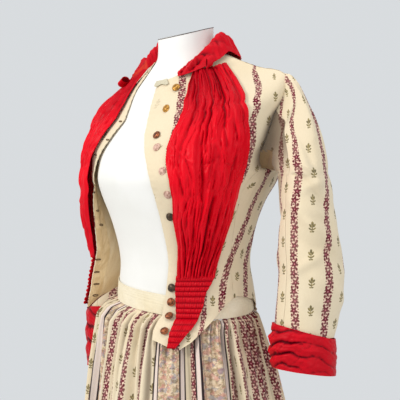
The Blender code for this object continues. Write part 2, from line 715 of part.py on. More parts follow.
# Heights of a cuff's edges, at the sleeve's outer side and at the side next to the body.
CUFFS = {
    "left": {"top_outer": 0.915, "top_inner": 0.941, "bottom_outer": 0.857, "bottom_inner": 0.871},
    "right": {"top_outer": 0.938, "top_inner": 0.945, "bottom_outer": 0.832, "bottom_inner": 0.838},
}
CUFF_STEPS = 22
CUFF_ROWS = 9
CUFF_FOLDS = 3.5
CUFF_FOLD_HEIGHT = 0.0045


def make_cuffs():
    """Ruched bands over the sleeve ends; their folds run aslant and draw together at the outer side."""
    phi = np.arange(CUFF_STEPS) * 360.0 / CUFF_STEPS
    v = np.linspace(0.0, 1.0, CUFF_ROWS)
    grid_v, grid_phi = np.meshgrid(v, phi, indexing="ij")
    inward = 0.5 - 0.5 * np.cos(np.radians(grid_phi))
    drawn = np.sin(np.radians(grid_phi / 2.0)) ** 2 * 0.8 + 0.2
    slant = 0.35 * np.sin(np.radians(grid_phi))
    rise = CUFF_FOLD_HEIGHT * drawn * (0.5 + 0.5 * wave(CUFF_FOLDS * grid_v + slant))
    rise = rise * np.sin(np.pi * np.clip(grid_v, 0.06, 0.94)) ** 0.5
    for side, word in ((1, "left"), (-1, "right")):
        edges = CUFFS[word]
        top = edges["top_outer"] + (edges["top_inner"] - edges["top_outer"]) * inward
        bottom = edges["bottom_outer"] + (edges["bottom_inner"] - edges["bottom_outer"]) * inward
        z = top + (bottom - top) * grid_v
        held = np.maximum(z, SLEEVES[word]["z"][-1])
        clear = CLOTH + LAYER
        outer = sleeve_ring(grid_phi, held, side, clear + SATIN + rise)
        inner = sleeve_ring(grid_phi, held, side, clear + rise * 0.6)
        outer[..., 2] = z
        inner[..., 2] = z
        wall("cuff_" + word, outer, inner, "satin", ring=True)


# Collar

COLLAR_COLUMNS = ("share", "left_angle", "left_s", "left_height", "left_reach", "left_lift",
                  "right_angle", "right_s", "right_height", "right_reach", "right_lift")
COLLAR = named(COLLAR_COLUMNS, (
    (0.00, 36.0, 2.05, 0.004, 0.30, 0.0060, 59.0, 3.70, 0.010, 0.12, 0.0085),
    (0.10, 45.0, 2.05, 0.009, 0.45, 0.0080, 62.0, 3.10, 0.015, 0.20, 0.0095),
    (0.22, 60.0, 2.05, 0.015, 0.60, 0.0095, 68.0, 2.40, 0.018, 0.35, 0.0110),
    (0.35, 80.0, 2.05, 0.020, 0.75, 0.0095, 80.0, 2.05, 0.020, 0.60, 0.0095),
    (0.48, 97.0, 2.05, 0.030, 0.85, 0.0080, 97.0, 2.05, 0.026, 0.80, 0.0080),
    (0.60, 112.0, 2.05, 0.028, 0.85, 0.0060, 112.0, 2.05, 0.026, 0.80, 0.0060),
    (0.72, 130.0, 2.05, 0.024, 0.80, 0.0055, 130.0, 2.05, 0.024, 0.80, 0.0055),
    (1.00, 179.7, 2.05, 0.025, 0.75, 0.0055, 179.7, 2.05, 0.025, 0.75, 0.0055),
))
COLLAR_STEPS = 13
COLLAR_PROFILE = (0.0, 0.3, 0.55, 0.8, 1.0)
COLLAR_STAND = 0.0014
COLLAR_ON_PANEL = 0.0031


def collar_point(t, q, side, off):
    """A collar's fold: up from the neckline (q 0), over its top (q about 0.5), out and down (q 1)."""
    word = "left" if side > 0 else "right"
    theta = at(COLLAR, t, word + "_angle")
    s = at(COLLAR, t, word + "_s")
    height = at(COLLAR, t, word + "_height")
    reach = at(COLLAR, t, word + "_reach")
    lift = at(COLLAR, t, word + "_lift")
    stand = COLLAR_STAND + COLLAR_ON_PANEL * smooth((s - NECKLINE) / 0.3)
    foot = bodice_point(side * theta, s, stand)
    edge = bodice_point(side * theta, s + reach, lift)
    away = foot * np.array([1.0, 1.0, 0.0])
    away = away / np.linalg.norm(away, axis=-1, keepdims=True)
    arch = np.pi * q
    share = q ** 1.5
    out = -np.cos(arch) * off
    up = (height + off) * np.sin(arch)
    return (foot * (1.0 - share)[..., None] + edge * share[..., None] + away * out[..., None]
            + np.array([0.0, 0.0, 1.0]) * up[..., None])


def make_collar():
    """Two folded satin bands that meet at the centre back."""
    q = np.array(COLLAR_PROFILE)
    for side, word in ((1, "left"), (-1, "right")):
        t = np.linspace(0.0, 1.0, COLLAR_STEPS)
        grid_t, grid_q = np.meshgrid(t, q, indexing="ij")
        wall("collar_" + word, collar_point(grid_t, grid_q, side, SATIN / 2.0),
             collar_point(grid_t, grid_q, side, -SATIN / 2.0), "satin")


# Side, share along the collar, offset out and up, length, height.
LOOPS = (
    ("left", 0.28, 0.0054, 0.0048, 0.009, 0.016),
    ("right", 0.06, 0.0115, 0.0075, 0.020, 0.010),
)
LOOP_WIDTH = 0.011
LOOP_STEPS = 12


def make_loops():
    """A small folded bow loop of the same satin at each side of the collar."""
    turn = np.arange(LOOP_STEPS) * 360.0 / LOOP_STEPS
    width = np.array([-0.5, 0.5]) * LOOP_WIDTH
    grid_w, grid_turn = np.meshgrid(width, turn, indexing="ij")
    for word, share, out, up, length, height in LOOPS:
        side = 1 if word == "left" else -1
        middle = collar_point(np.array(share), np.array(1.0), side, 0.0)
        ahead = collar_point(np.array(share + 0.05), np.array(1.0), side, 0.0) - middle
        ahead = ahead / np.linalg.norm(ahead)
        away = np.cross(ahead, np.array([0.0, 0.0, 1.0]))
        away = away / np.linalg.norm(away) * (1.0 if side > 0 else -1.0)
        if np.dot(away, middle * np.array([1.0, 1.0, 0.0])) < 0.0:
            away = -away
        rise = np.array([0.0, 0.0, 1.0])
        centre = middle + away * out + rise * up
        rings = []
        for off in (SATIN / 2.0, -SATIN / 2.0):
            long = (length / 2.0 + off) * np.cos(np.radians(grid_turn))
            high = (height / 2.0 + off) * np.sin(np.radians(grid_turn))
            rings.append(centre + away * long[..., None] + rise * high[..., None] + ahead * grid_w[..., None])
        wall("collar_loop_" + word, rings[0], rings[1], "satin", ring=True)


# Skirt

SKIRT_ROWS_Z = (SKIRT_TOP, 0.932, 0.900, 0.800, 0.500, HEM_HEIGHT)
SKIRT_PANELS = {
    "skirt_front": (-45.0, 45.0),
    "skirt_side_left": (45.0, 125.0),
    "skirt_back": (125.0, 235.0),
    "skirt_side_right": (235.0, 315.0),
}
COLUMNS_PER_GATHER = 4


def make_waistband():
    theta = np.arange(FORM_COLUMNS) * 360.0 / FORM_COLUMNS
    share = np.array([0.0, 0.5, 1.0])
    grid_share, grid_theta = np.meshgrid(share, theta, indexing="ij")
    s = s_of_z(band_bottom(grid_theta) + WAISTBAND_HEIGHT * (1.0 - grid_share))
    base = body_point(grid_theta, s)
    out = outward(body_point, grid_theta, s)
    wall("skirt_waistband", base + out * (0.0005 + WAISTBAND_THICKNESS),
         base + out * 0.0005, "cream", ring=True)


def make_skirt():
    """Four gathered widths under the waistband, down to the hem."""
    level = np.array(SKIRT_ROWS_Z)
    for name, (begin, end) in SKIRT_PANELS.items():
        columns = int(round((end - begin) / 360.0 * GATHERS * COLUMNS_PER_GATHER)) + 1
        theta = np.linspace(begin + 0.05, end - 0.05, columns)
        grid_z, grid_theta = np.meshgrid(level, theta, indexing="ij")
        turned = np.where(grid_theta > 180.0, grid_theta - 360.0, grid_theta)
        z = grid_z + skirt_rise(turned, grid_z)
        half = CLOTH / 2.0
        outer = skirt_point(turned, grid_z, 1.0, half)
        inner = skirt_point(turned, grid_z, 1.0, -half)
        outer[..., 2] = z
        inner[..., 2] = z
        wall(name, outer, inner, "print")


# Buttons

# Each button's height, and how far it lies inside the front edge.
BUTTONS = (
    (1.319, 0.042),
    (1.284, 0.039),
    (1.240, 0.030),
    (1.2195, 0.029),
    (1.181, 0.029),
    (1.144, 0.026),
    (1.108, 0.019),
    (0.992, 0.010),
    (0.969, 0.012),
    (0.944, 0.014),
    (0.923, 0.016),
)


def seat_on(tree, point, normal):
    """The height over a point at which a button clears the cloth's faces, all round its rim."""
    across = np.cross(np.array([0.0, 0.0, 1.0]), normal)
    across = across / np.linalg.norm(across)
    along = np.cross(normal, across)
    heights = []
    for angle in np.radians(np.arange(0.0, 360.0, 30.0)):
        for radius, height in BUTTON_PROFILE[:2]:
            rim = point + radius * BUTTON_RADIUS * (across * np.cos(angle) + along * np.sin(angle))
            start = rim + normal * BUTTON_REACH
            hit = tree.ray_cast(start.tolist(), (-normal).tolist(), 2.0 * BUTTON_REACH)
            if hit[0] is not None:
                above = float(np.dot(np.array(hit[0]) - point, normal))
                heights.append(above - height * BUTTON_HEIGHT)
    return max(heights) + BUTTON_SEAT, across, along


def make_buttons():
    """Turned, domed buttons along the left front, each standing on the cloth."""
    cloth = BVHTree.FromObject(bpy.data.objects["bodice_front_left"], bpy.context.evaluated_depsgraph_get())
    for index, (z, inset) in enumerate(BUTTONS):
        s = np.linspace(2.0, 17.0, 1501)
        theta = theta_of_x(at(FRONT_EDGE, s, "left_x") + inset, s)
        line = bodice_point(theta, s, CLOTH)
        nearest = int(np.argmin(np.abs(line[:, 2] - z)))
        seat = line[nearest]
        normal = outward(lambda t, p: bodice_point(t, p, CLOTH), theta[nearest:nearest + 1],
                         s[nearest:nearest + 1])[0]
        lift, across, along = seat_on(cloth, seat, normal)
        mesh = bpy.data.meshes.new("button")
        grid = bmesh.new()
        rings = []
        for radius, height in BUTTON_PROFILE:
            ring = bmesh.ops.create_circle(grid, segments=BUTTON_SIDES, radius=radius * BUTTON_RADIUS)["verts"]
            for vert in ring:
                vert.co.z = height * BUTTON_HEIGHT
            rings.append(ring)
        for lower, upper in zip(rings, rings[1:]):
            for k in range(BUTTON_SIDES):
                m = (k + 1) % BUTTON_SIDES
                grid.faces.new((lower[k], lower[m], upper[m], upper[k]))
        grid.faces.new(rings[0])
        grid.faces.new(rings[-1])
        bmesh.ops.recalc_face_normals(grid, faces=grid.faces)
        grid.to_mesh(mesh)
        grid.free()
        mesh.shade_smooth()
        button = place_object("button_%02d" % (index + 1), mesh, "brass")
        turn = np.eye(4)
        turn[:3, 0], turn[:3, 1], turn[:3, 2] = across, along, normal
        turn[:3, 3] = seat + normal * lift
        button.matrix_world = Matrix(turn.tolist())


for old in list(bpy.data.objects):
    bpy.data.objects.remove(old, do_unlink=True)
MATERIALS = {}
DRESS = bpy.data.collections.new("dress on a dress form")
bpy.context.scene.collection.children.link(DRESS)
make_materials()
make_form()
make_stand()
make_bodice()
make_plastrons()
make_sleeves()
make_cuffs()
make_collar()
make_loops()
make_waistband()
make_skirt()
make_buttons()
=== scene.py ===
"""Looks of the two-piece dress of the 1880s on its limbless dress form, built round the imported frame.

Metres, +Z up. The wearer faces -Y and their left is +X. Angles go round the body: 0 at the centre front,
90 degrees at the wearer's left side. Each cloth piece is a thin wall between an outer and an inner grid.
"""

import bpy
import numpy as np
from bpy.props import FloatProperty, FloatVectorProperty, IntProperty, PointerProperty
from mathutils import Matrix, Vector


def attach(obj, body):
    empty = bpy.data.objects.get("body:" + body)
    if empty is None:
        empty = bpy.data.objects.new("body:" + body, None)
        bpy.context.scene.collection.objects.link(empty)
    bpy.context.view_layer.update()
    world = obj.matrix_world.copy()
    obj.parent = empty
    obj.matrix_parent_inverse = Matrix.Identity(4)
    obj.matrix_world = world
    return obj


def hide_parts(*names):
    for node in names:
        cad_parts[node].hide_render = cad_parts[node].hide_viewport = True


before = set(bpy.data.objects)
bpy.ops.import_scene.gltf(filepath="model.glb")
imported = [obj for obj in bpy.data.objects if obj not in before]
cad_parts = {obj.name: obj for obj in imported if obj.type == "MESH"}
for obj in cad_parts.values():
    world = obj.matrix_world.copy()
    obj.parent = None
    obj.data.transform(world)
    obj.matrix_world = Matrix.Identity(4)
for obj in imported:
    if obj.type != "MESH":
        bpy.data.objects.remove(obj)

bl_info = {
    "name": "Dress on a dress form",
    "version": (1, 0, 0),
    "blender": (4, 5, 0),
    "location": "3D View > Sidebar > Dress",
    "description": "Builds a two-piece gathered dress with satin fronts on a limbless dress form",
    "category": "Add Mesh",
}


def linear(red, green, blue):
    """A screen colour of 0 to 255 as linear light: ((c + 0.055) / 1.055) to the power 2.4."""
    shares = np.array([red, green, blue]) / 255.0
    return tuple(np.where(shares <= 0.04045, shares / 12.92, ((shares + 0.055) / 1.055) ** 2.4).tolist())


def in_metres(name, description, value, low, high):
    """A length property in metres."""
    return FloatProperty(name=name, description=description, default=value, min=low, max=high, unit="LENGTH")


class DressSizes(bpy.types.PropertyGroup):
    """Sizes that change how full the cloth is."""
    cloth: in_metres("Cloth thickness", "Wall of the printed cotton", 0.0012, 0.0005, 0.002)
    satin: in_metres("Satin thickness", "Wall of the satin pieces", 0.0010, 0.0005, 0.002)
    satin_folds: in_metres("Satin folds", "Height of the satin fronts' gathered folds", 0.0100, 0.0, 0.014)
    shirring: in_metres("Shirring", "Height of the shirred rows at the waist", 0.0030, 0.0, 0.006)
    cuff_folds: in_metres("Cuff folds", "Height of the cuffs' slanting folds", 0.0085, 0.0, 0.012)
    gathers: in_metres("Skirt gathers", "Height of the small gathers under the waistband", 0.0030, 0.0, 0.006)
    shirring_rows: IntProperty(
        name="Shirring rows", description="Drawn-in rows of the satin points", default=13, min=6, max=20)
    button_sides: IntProperty(
        name="Button sides", description="Facets round a button", default=28, min=12, max=48)


def colour(name, description, value):
    """A colour property with its default in linear light."""
    return FloatVectorProperty(name=name, description=description, subtype="COLOR", size=3, min=0.0, max=1.0,
                               default=value)


class DressColours(bpy.types.PropertyGroup):
    """Colours of the cloths and trimmings."""
    cream: colour("Cream", "Ground of the printed cotton", linear(222, 206, 177))
    crimson: colour("Crimson", "Flowers of the woven stripes", linear(104, 4, 30))
    pink: colour("Pink", "Light parts of the flower stripes", linear(226, 138, 148))
    olive: colour("Olive", "Sprigs between the stripes", linear(80, 70, 28))
    lilac: colour("Lilac", "Edge of the flowered bands", linear(222, 204, 196))
    band: colour("Band", "Ground of the flowered bands", linear(222, 200, 168))
    satin: colour("Satin", "Red satin", linear(222, 6, 28))
    lining: colour("Lining", "Linen inside the bodice", linear(244, 224, 188))
    plain: colour("Plain cotton", "Waistband", linear(236, 226, 202))
    form: colour("Form cover", "Cover of the dress form", linear(226, 224, 218))
    gold: colour("Gold", "Upper buttons", linear(190, 140, 62))
    copper: colour("Copper", "Lower buttons", linear(150, 84, 48))
    pearl: colour("Pearl", "Pale middle buttons", linear(206, 168, 150))
    floor: colour("Floor", "Plain pale floor", linear(214, 217, 219))


# Shape of the figure and of the worn cloth, the same as in the solids

CLOTH = 0.0015
SATIN = 0.0015
SEAM = 0.0003
REST = 0.0012
LAYER = 0.0008
RIGHT_LAYER = 0.0027
HEM_HEIGHT = 0.018
WAISTBAND_HEIGHT = 0.031
WAISTBAND_BOTTOM = 0.963
WAISTBAND_DROP_LEFT = 0.0185
WAISTBAND_DROP_FRONT = 0.0106
WAISTBAND_THICKNESS = 0.002
SKIRT_TOP = 0.948
RISE_ENDS = 0.860
OVER_SKIRT = 0.0025
SHOULDER_EASE = 0.0021
EASE_SPREAD = 1.9
GATHERS = 44
WORDS = {1: "left", -1: "right"}
UP = np.array([0.0, 0.0, 1.0])
LEVEL = np.array([1.0, 1.0, 0.0])


def named(columns, rows):
    """A table as arrays under the names of its columns, the key first."""
    return dict(zip(columns, np.array(rows, float).T))


# Rings of the figure, from the neck down. Lengths in metres; rise is how z runs from side to front and back.
BODY_COLUMNS = ("half_width", "centre_y", "front_y", "back_y", "exponent",
                "z_front", "z_side", "z_back", "rise", "bust", "blade")
BODY_RINGS = {
    "neck_top": (0.047, 0.000, -0.047, 0.047, 2.00, 1.403, 1.418, 1.432, 1.00, 0, 0),
    "neck_mid": (0.047, 0.000, -0.049, 0.049, 2.00, 1.362, 1.401, 1.410, 1.00, 0, 0),
    "neck_base": (0.057, 0.002, -0.064, 0.062, 2.00, 1.334, 1.385, 1.388, 1.00, 0, 0),
    "yoke": (0.092, 0.013, -0.073, 0.090, 2.10, 1.311, 1.371, 1.361, 0.80, 0, 0),
    "shoulder": (0.140, 0.029, -0.080, 0.109, 2.20, 1.290, 1.353, 1.328, 0.65, 0, 0),
    "shoulder_tip": (0.186, 0.043, -0.088, 0.123, 2.30, 1.266, 1.338, 1.292, 0.60, 0, 0.002),
    "armhole": (0.184, 0.041, -0.102, 0.131, 2.45, 1.240, 1.285, 1.250, 0.80, 0.001, 0.004),
    "chest": (0.174, 0.032, -0.116, 0.134, 2.50, 1.215, 1.235, 1.215, 0.90, 0.003, 0.005),
    "underarm": (0.158, 0.018, -0.127, 0.130, 2.50, 1.193, 1.197, 1.190, 1.00, 0.005, 0.005),
    "bust_line": (0.149, 0.005, -0.131, 0.120, 2.55, 1.168, 1.168, 1.164, 1.00, 0.006, 0.003),
    "under_bust": (0.140, 0.000, -0.124, 0.107, 2.50, 1.140, 1.140, 1.138, 1.00, 0.003, 0),
    "rib": (0.130, 0.000, -0.112, 0.093, 2.35, 1.104, 1.104, 1.104, 1.00, 0, 0),
    "high_waist": (0.121, 0.000, -0.101, 0.083, 2.25, 1.062, 1.062, 1.062, 1.00, 0, 0),
    "waist": (0.118, 0.000, -0.097, 0.080, 2.20, 1.030, 1.030, 1.030, 1.00, 0, 0),
    "low_waist": (0.121, 0.000, -0.097, 0.083, 2.20, 1.000, 1.000, 1.000, 1.00, 0, 0),
    "high_hip": (0.124, 0.000, -0.095, 0.087, 2.20, 0.965, 0.965, 0.965, 1.00, 0, 0),
    "hip": (0.124, 0.000, -0.092, 0.088, 2.20, 0.905, 0.905, 0.905, 1.00, 0, 0),
    "form_foot": (0.120, 0.000, -0.090, 0.088, 2.20, 0.845, 0.845, 0.845, 1.00, 0, 0),
}
RING = {name: index for index, name in enumerate(BODY_RINGS)}
COLUMN = {name: index for index, name in enumerate(BODY_COLUMNS)}
BODY = np.array(list(BODY_RINGS.values()), float)
BUST_ANGLE = 38.0
BLADE_ANGLE = 140.0
LOBE_SPREAD = 20.0

# The skirt's mean surface, from the waistband down to the hem, and the height of its folds.
SKIRT = named(("z", "half_left", "half_right", "front_y", "back_y", "small_fold", "large_fold"), (
    (SKIRT_TOP, 0.1312, 0.1318, -0.1012, 0.0944, 0.0006, 0.0000),
    (0.938, 0.1340, 0.1540, -0.1100, 0.0990, 0.0025, 0.0005),
    (0.925, 0.1370, 0.1670, -0.1200, 0.1040, 0.0040, 0.0015),
    (0.900, 0.1430, 0.1700, -0.1270, 0.1150, 0.0045, 0.0030),
    (0.860, 0.1560, 0.1730, -0.1370, 0.1330, 0.0035, 0.0060),
    (0.790, 0.1720, 0.1760, -0.1480, 0.1520, 0.0020, 0.0090),
    (0.560, 0.2200, 0.2220, -0.1900, 0.2080, 0.0010, 0.0140),
    (HEM_HEIGHT, 0.3050, 0.3050, -0.2750, 0.3250, 0.0000, 0.0200),
))

# How far the bodice's inner face stands off the figure below the waist, over waistband and gathers.
BASQUE = named(("z", "skirt_share", "stand_off"), (
    (1.050, 0.00, REST),
    (1.010, 0.00, 0.0038),
    (0.985, 0.10, 0.0042),
    (0.965, 0.60, 0.0044),
    (0.950, 1.00, 0.0044),
    (0.860, 1.00, 0.0044),
))


def wave(x):
    """A cosine wave that repeats at every whole number."""
    return np.cos(2.0 * np.pi * x)


def smooth(t):
    """Rises from 0 to 1 as 3 t squared - 2 t cubed, and stays level outside."""
    t = np.clip(t, 0.0, 1.0)
    return t * t * (3.0 - 2.0 * t)


def table(rows, height, column):
    """A column of a table whose key is a falling height, read at the heights given."""
    return np.interp(-np.asarray(height, float), -rows["z"], rows[column])


def at(rows, key, column):
    """A column of a table whose first column rises, read at the keys given."""
    return np.interp(key, next(iter(rows.values())), rows[column])


def unit(vectors):
    """Vectors of the same directions, of length 1."""
    return vectors / np.linalg.norm(vectors, axis=-1, keepdims=True)


def ring_values(s):
    """The body's columns at ring position s (0 at the neck top), on a smooth curve through the rings."""
    s = np.clip(np.asarray(s, float), 0.0, len(BODY) - 1.0)
    low = np.minimum(s.astype(int), len(BODY) - 2)
    t = (s - low)[..., None]
    before = BODY[np.maximum(low - 1, 0)]
    here = BODY[low]
    after = BODY[low + 1]
    beyond = BODY[np.minimum(low + 2, len(BODY) - 1)]
    return 0.5 * (2.0 * here + (after - before) * t
                  + (2.0 * before - 5.0 * here + 4.0 * after - beyond) * t ** 2
                  + (3.0 * here - before - 3.0 * after + beyond) * t ** 3)


def lobe(degrees, centre):
    """exp(-((angle from the front - centre) / spread) squared), the same on both sides."""
    return np.exp(-((np.abs(degrees) - centre) / LOBE_SPREAD) ** 2)


def body_point(theta, s):
    """A point of the bare figure: a superellipse ring at angle theta in degrees, with bust and blades."""
    theta = np.asarray(theta, float)
    width, centre, front, back, power, z_front, z_side, z_back, rise, bust, blade = np.moveaxis(
        ring_values(s), -1, 0)
    sine, cosine = np.sin(np.radians(theta)), np.cos(np.radians(theta))
    across = np.sign(sine) * np.abs(sine) ** (2.0 / power)
    along = np.abs(cosine) ** (2.0 / power)
    forward = cosine > 0.0
    swell = bust * lobe(theta, BUST_ANGLE) + blade * lobe(theta, BLADE_ANGLE)
    depth = np.where(forward, front - centre, back - centre)
    x = width * across + swell * sine
    y = centre + depth * along - swell * cosine
    z = z_side + np.where(forward, z_front - z_side, z_back - z_side) * along ** rise
    return np.stack([x, y, z], -1)


def outward(point, theta, s):
    """The unit normal of a surface point(theta, s), pointing away from the body."""
    step_theta, step_s = 1.0, 0.04
    across = point(theta + step_theta, s) - point(theta - step_theta, s)
    down = point(theta, np.minimum(s + step_s, len(BODY) - 1.0)) - point(theta, np.maximum(s - step_s, 0.0))
    return unit(np.cross(down, across))


def s_of_z(z):
    """Ring position of a height below the bust, where the rings are level."""
    return np.interp(-np.asarray(z, float), -BODY[:, COLUMN["z_side"]], np.arange(len(BODY)))


def theta_of_x(x, s):
    """The angle in front of the body at which a ring is x away from the centre."""
    values = ring_values(s)
    ratio = np.clip(np.abs(x) / values[..., COLUMN["half_width"]], 0.0, 1.0)
    return np.sign(x) * np.degrees(np.arcsin(ratio ** (values[..., COLUMN["exponent"]] / 2.0)))


def skirt_point(theta, z, folds=1.0, offset=0.0):
    """The skirt at an angle and height: mean oval, with large folds and the small gathers of the waist."""
    theta = np.asarray(theta, float)
    sine, cosine = np.sin(np.radians(theta)), np.cos(np.radians(theta))
    half = np.where(sine > 0.0, table(SKIRT, z, "half_left"), table(SKIRT, z, "half_right"))
    deep = np.where(cosine > 0.0, -table(SKIRT, z, "front_y"), table(SKIRT, z, "back_y"))
    turns = theta / 360.0
    uneven = turns + 0.006 * wave(3.0 * turns + 0.2) + 0.004 * wave(7.0 * turns + 0.6)
    small = table(SKIRT, z, "small_fold") * wave(GATHERS * uneven)
    swing = 0.75 * wave(GATHERS / 2.0 * uneven + 0.1) + 0.35 * wave(11.0 * turns + 0.3)
    large = table(SKIRT, z, "large_fold") * swing
    out = folds * (small + large) + offset
    x = (half + out) * sine
    y = -(deep + out) * cosine
    return np.stack([x, y, z + 0.0 * x], -1)


def band_bottom(theta):
    """Height of the waistband's lower edge, which is higher at the back and on the wearer's right."""
    turn = np.radians(theta)
    return WAISTBAND_BOTTOM - WAISTBAND_DROP_LEFT * np.sin(turn) - WAISTBAND_DROP_FRONT * np.cos(turn)


def band_shift(theta):
    """How far the waistband lies above its height at the front."""
    return band_bottom(theta) - band_bottom(0.0)


def skirt_rise(theta, level):
    """How far the skirt's upper part is lifted or lowered to meet the tilted waistband."""
    near_top = smooth((level - RISE_ENDS) / (SKIRT_TOP - RISE_ENDS))
    return (band_bottom(theta) - SEAM - SKIRT_TOP) * near_top


def bodice_point(theta, s, off):
    """A point of the bodice, off metres outside its inner face, over the figure and the skirt's top."""
    base = body_point(theta, s)
    z = base[..., 2]
    shoulder = SHOULDER_EASE * np.exp(-((np.asarray(s) - RING["armhole"]) / EASE_SPREAD) ** 2)
    held = z - band_shift(theta)
    stand_off = np.where(held < BASQUE["z"][0], table(BASQUE, held, "stand_off"), REST) + shoulder
    out = outward(body_point, theta, s)
    worn = base + out * (stand_off + off)[..., None]
    level = z - skirt_rise(theta, z)
    envelope = table(SKIRT, level, "small_fold") + 1.1 * table(SKIRT, level, "large_fold") + OVER_SKIRT
    over = skirt_point(theta, level, 0.0, envelope + off)
    over[..., 2] = z
    share = table(BASQUE, held, "skirt_share")[..., None]
    return worn * (1.0 - share) + over * share


ARMHOLE = named(("s", "front_angle", "back_angle"), (
    (5.0, 90.0, 90.0),
    (5.4, 87.0, 97.0),
    (6.0, 83.5, 107.0),
    (6.6, 83.0, 110.0),
    (7.4, 84.5, 108.0),
    (8.25, 91.0, 92.0),
))
BACK_SEAM = named(("s", "angle"), (
    (6.6, 111.0), (7.4, 117.0), (8.25, 124.0), (10.0, 134.0), (13.0, 143.0), (17.0, 141.0),
))
SIDE_SEAM = named(("s", "angle"), (
    (8.25, 91.0), (9.0, 88.0), (11.0, 84.0), (14.0, 82.0), (17.0, 82.0),
))
NECKLINE = 2.15
FRONT_EDGE = named(("s", "left_x", "right_x"), (
    (2.15, 0.004, -0.052),
    (3.0, 0.002, -0.064),
    (4.0, 0.001, -0.058),
    (5.0, 0.002, -0.059),
    (6.0, 0.010, -0.076),
    (7.0, 0.0245, -0.091),
    (8.0, 0.040, -0.099),
    (9.0, 0.0505, -0.103),
    (10.0, 0.052, -0.103),
    (11.0, 0.051, -0.101),
    (13.0, 0.0525, -0.099),
    (14.0, 0.051, -0.098),
    (15.5, 0.045, -0.098),
    (17.0, 0.050, -0.098),
))
BASQUE_HEM = named(("angle", "left_z", "right_z"), (
    (0.0, 0.925, 0.948),
    (22.0, 0.907, 0.948),
    (36.0, 0.893, 0.948),
    (45.0, 0.906, 0.948),
    (52.0, 0.921, 0.949),
    (58.0, 0.935, 0.957),
    (64.0, 0.948, 0.969),
    (72.0, 0.964, 0.981),
    (86.0, 0.976, 0.985),
    (110.0, 0.970, 0.978),
    (140.0, 0.948, 0.954),
    (180.0, 0.930, 0.930),
))
BASQUE_RING = 15.5
SIDE_PIECE_TOP = 6.6


def side_line(s):
    """Outer edge of a front: shoulder seam, then armhole, then side seam."""
    s = np.asarray(s, float)
    armhole = at(ARMHOLE, s, "front_angle")
    seam = at(SIDE_SEAM, s, "angle")
    return np.where(s <= 5.0, 90.0, np.where(s < 8.25, armhole, seam))


def front_line(s):
    """The left front's free edge."""
    return theta_of_x(at(FRONT_EDGE, s, "left_x"), s)


def right_front_line(s):
    """The right front's free edge, counted as if it were on the left."""
    return -theta_of_x(at(FRONT_EDGE, s, "right_x"), s)


def armhole_back(s):
    """Outer edge of a back: shoulder seam, then armhole, then the curved seam to the side piece."""
    s = np.asarray(s, float)
    return np.where(s <= 5.0, 90.0, np.where(s < 6.6, at(ARMHOLE, s, "back_angle"), at(BACK_SEAM, s, "angle")))


def side_back_line(s):
    """Outer edge of the side piece."""
    return at(BACK_SEAM, s, "angle")


def side_front_line(s):
    """Inner edge of the side piece: back of the armhole, then the side seam."""
    s = np.asarray(s, float)
    return np.where(s < 8.25, at(ARMHOLE, s, "back_angle"), at(SIDE_SEAM, s, "angle"))


def centre_back(s):
    """The centre back seam."""
    return np.full(np.shape(s), 180.0)


HANG_FLARE = named(("z", "out"), (
    (1.050, 0.000), (1.020, 0.0045), (0.985, 0.007), (0.960, 0.012), (0.940, 0.014),
))


def hang(theta, s, off, weight):
    """The right front below the bust: its points drop from the bust line and flare out, by weight."""
    on_body = bodice_point(theta, s, off)
    hanging = bodice_point(theta, np.minimum(s, RING["bust_line"]), off)
    flare = table(HANG_FLARE, on_body[..., 2], "out")
    hanging[..., 0] += flare * np.sin(np.radians(theta))
    hanging[..., 1] -= flare * np.cos(np.radians(theta))
    hanging[..., 2] = on_body[..., 2]
    return on_body * (1.0 - weight[..., None]) + hanging * weight[..., None]


def hang_weight(theta, s):
    """1 at the right front's free edge and 0 at its side seam, fading in below the bust."""
    seam = side_line(s)
    edge = right_front_line(s)
    share = np.clip((seam - np.abs(theta)) / (seam - edge), 0.0, 1.0)
    return share ** 0.8 * smooth((s - RING["bust_line"]) / 0.8)


def front_point(theta, s, off, side):
    """Either front, off metres outside its inner face; theta is counted from the centre front."""
    if side > 0:
        return bodice_point(theta, s, off)
    return hang(-theta, s, off, hang_weight(theta, s))


PLASTRON = named(("s", "inner_angle", "outer_angle", "puff"), (
    (2.3, 57.0, 80.0, 0.001),
    (3.0, 41.0, 84.0, 0.002),
    (4.0, 27.5, 72.0, 0.004),
    (5.0, 20.5, 60.0, 0.006),
    (6.0, 19.0, 65.0, 0.008),
    (7.0, 20.0, 72.0, 0.010),
    (8.0, 25.0, 79.0, 0.011),
    (9.0, 30.0, 82.0, 0.012),
    (10.0, 32.0, 82.0, 0.014),
    (11.0, 31.0, 79.0, 0.014),
    (12.0, 33.5, 73.0, 0.010),
    (13.0, 32.5, 68.0, 0.004),
    (13.6, 32.0, 65.0, 0.001),
))
SHIRR_SPAN = {"left": (1.012, 0.898), "right": (1.042, 0.956)}
SHIRR_CLEARANCE = 0.0027
SHIRR = named(("share", "inner_angle", "outer_angle"), (
    (0.00, 32.0, 65.0),
    (0.25, 30.5, 56.0),
    (0.48, 31.0, 51.0),
    (0.75, 31.5, 45.0),
    (1.00, 31.0, 36.0),
))
RIGHT_STRIP = named(("s", "angle", "extra_puff"), (
    (2.0, 6.0, 0.000),
    (7.0, 6.0, 0.002),
    (8.0, 5.5, 0.007),
    (9.0, 3.0, 0.015),
    (10.5, 2.5, 0.018),
    (12.2, 2.0, 0.017),
    (12.7, 1.2, 0.004),
    (17.0, 1.0, 0.003),
))


def right_share(theta, s):
    """An angle on the left front carried to the right front, at the same share of its width."""
    share = (theta - front_line(s)) / (side_line(s) - front_line(s))
    return right_front_line(s) + share * (side_line(s) - right_front_line(s))


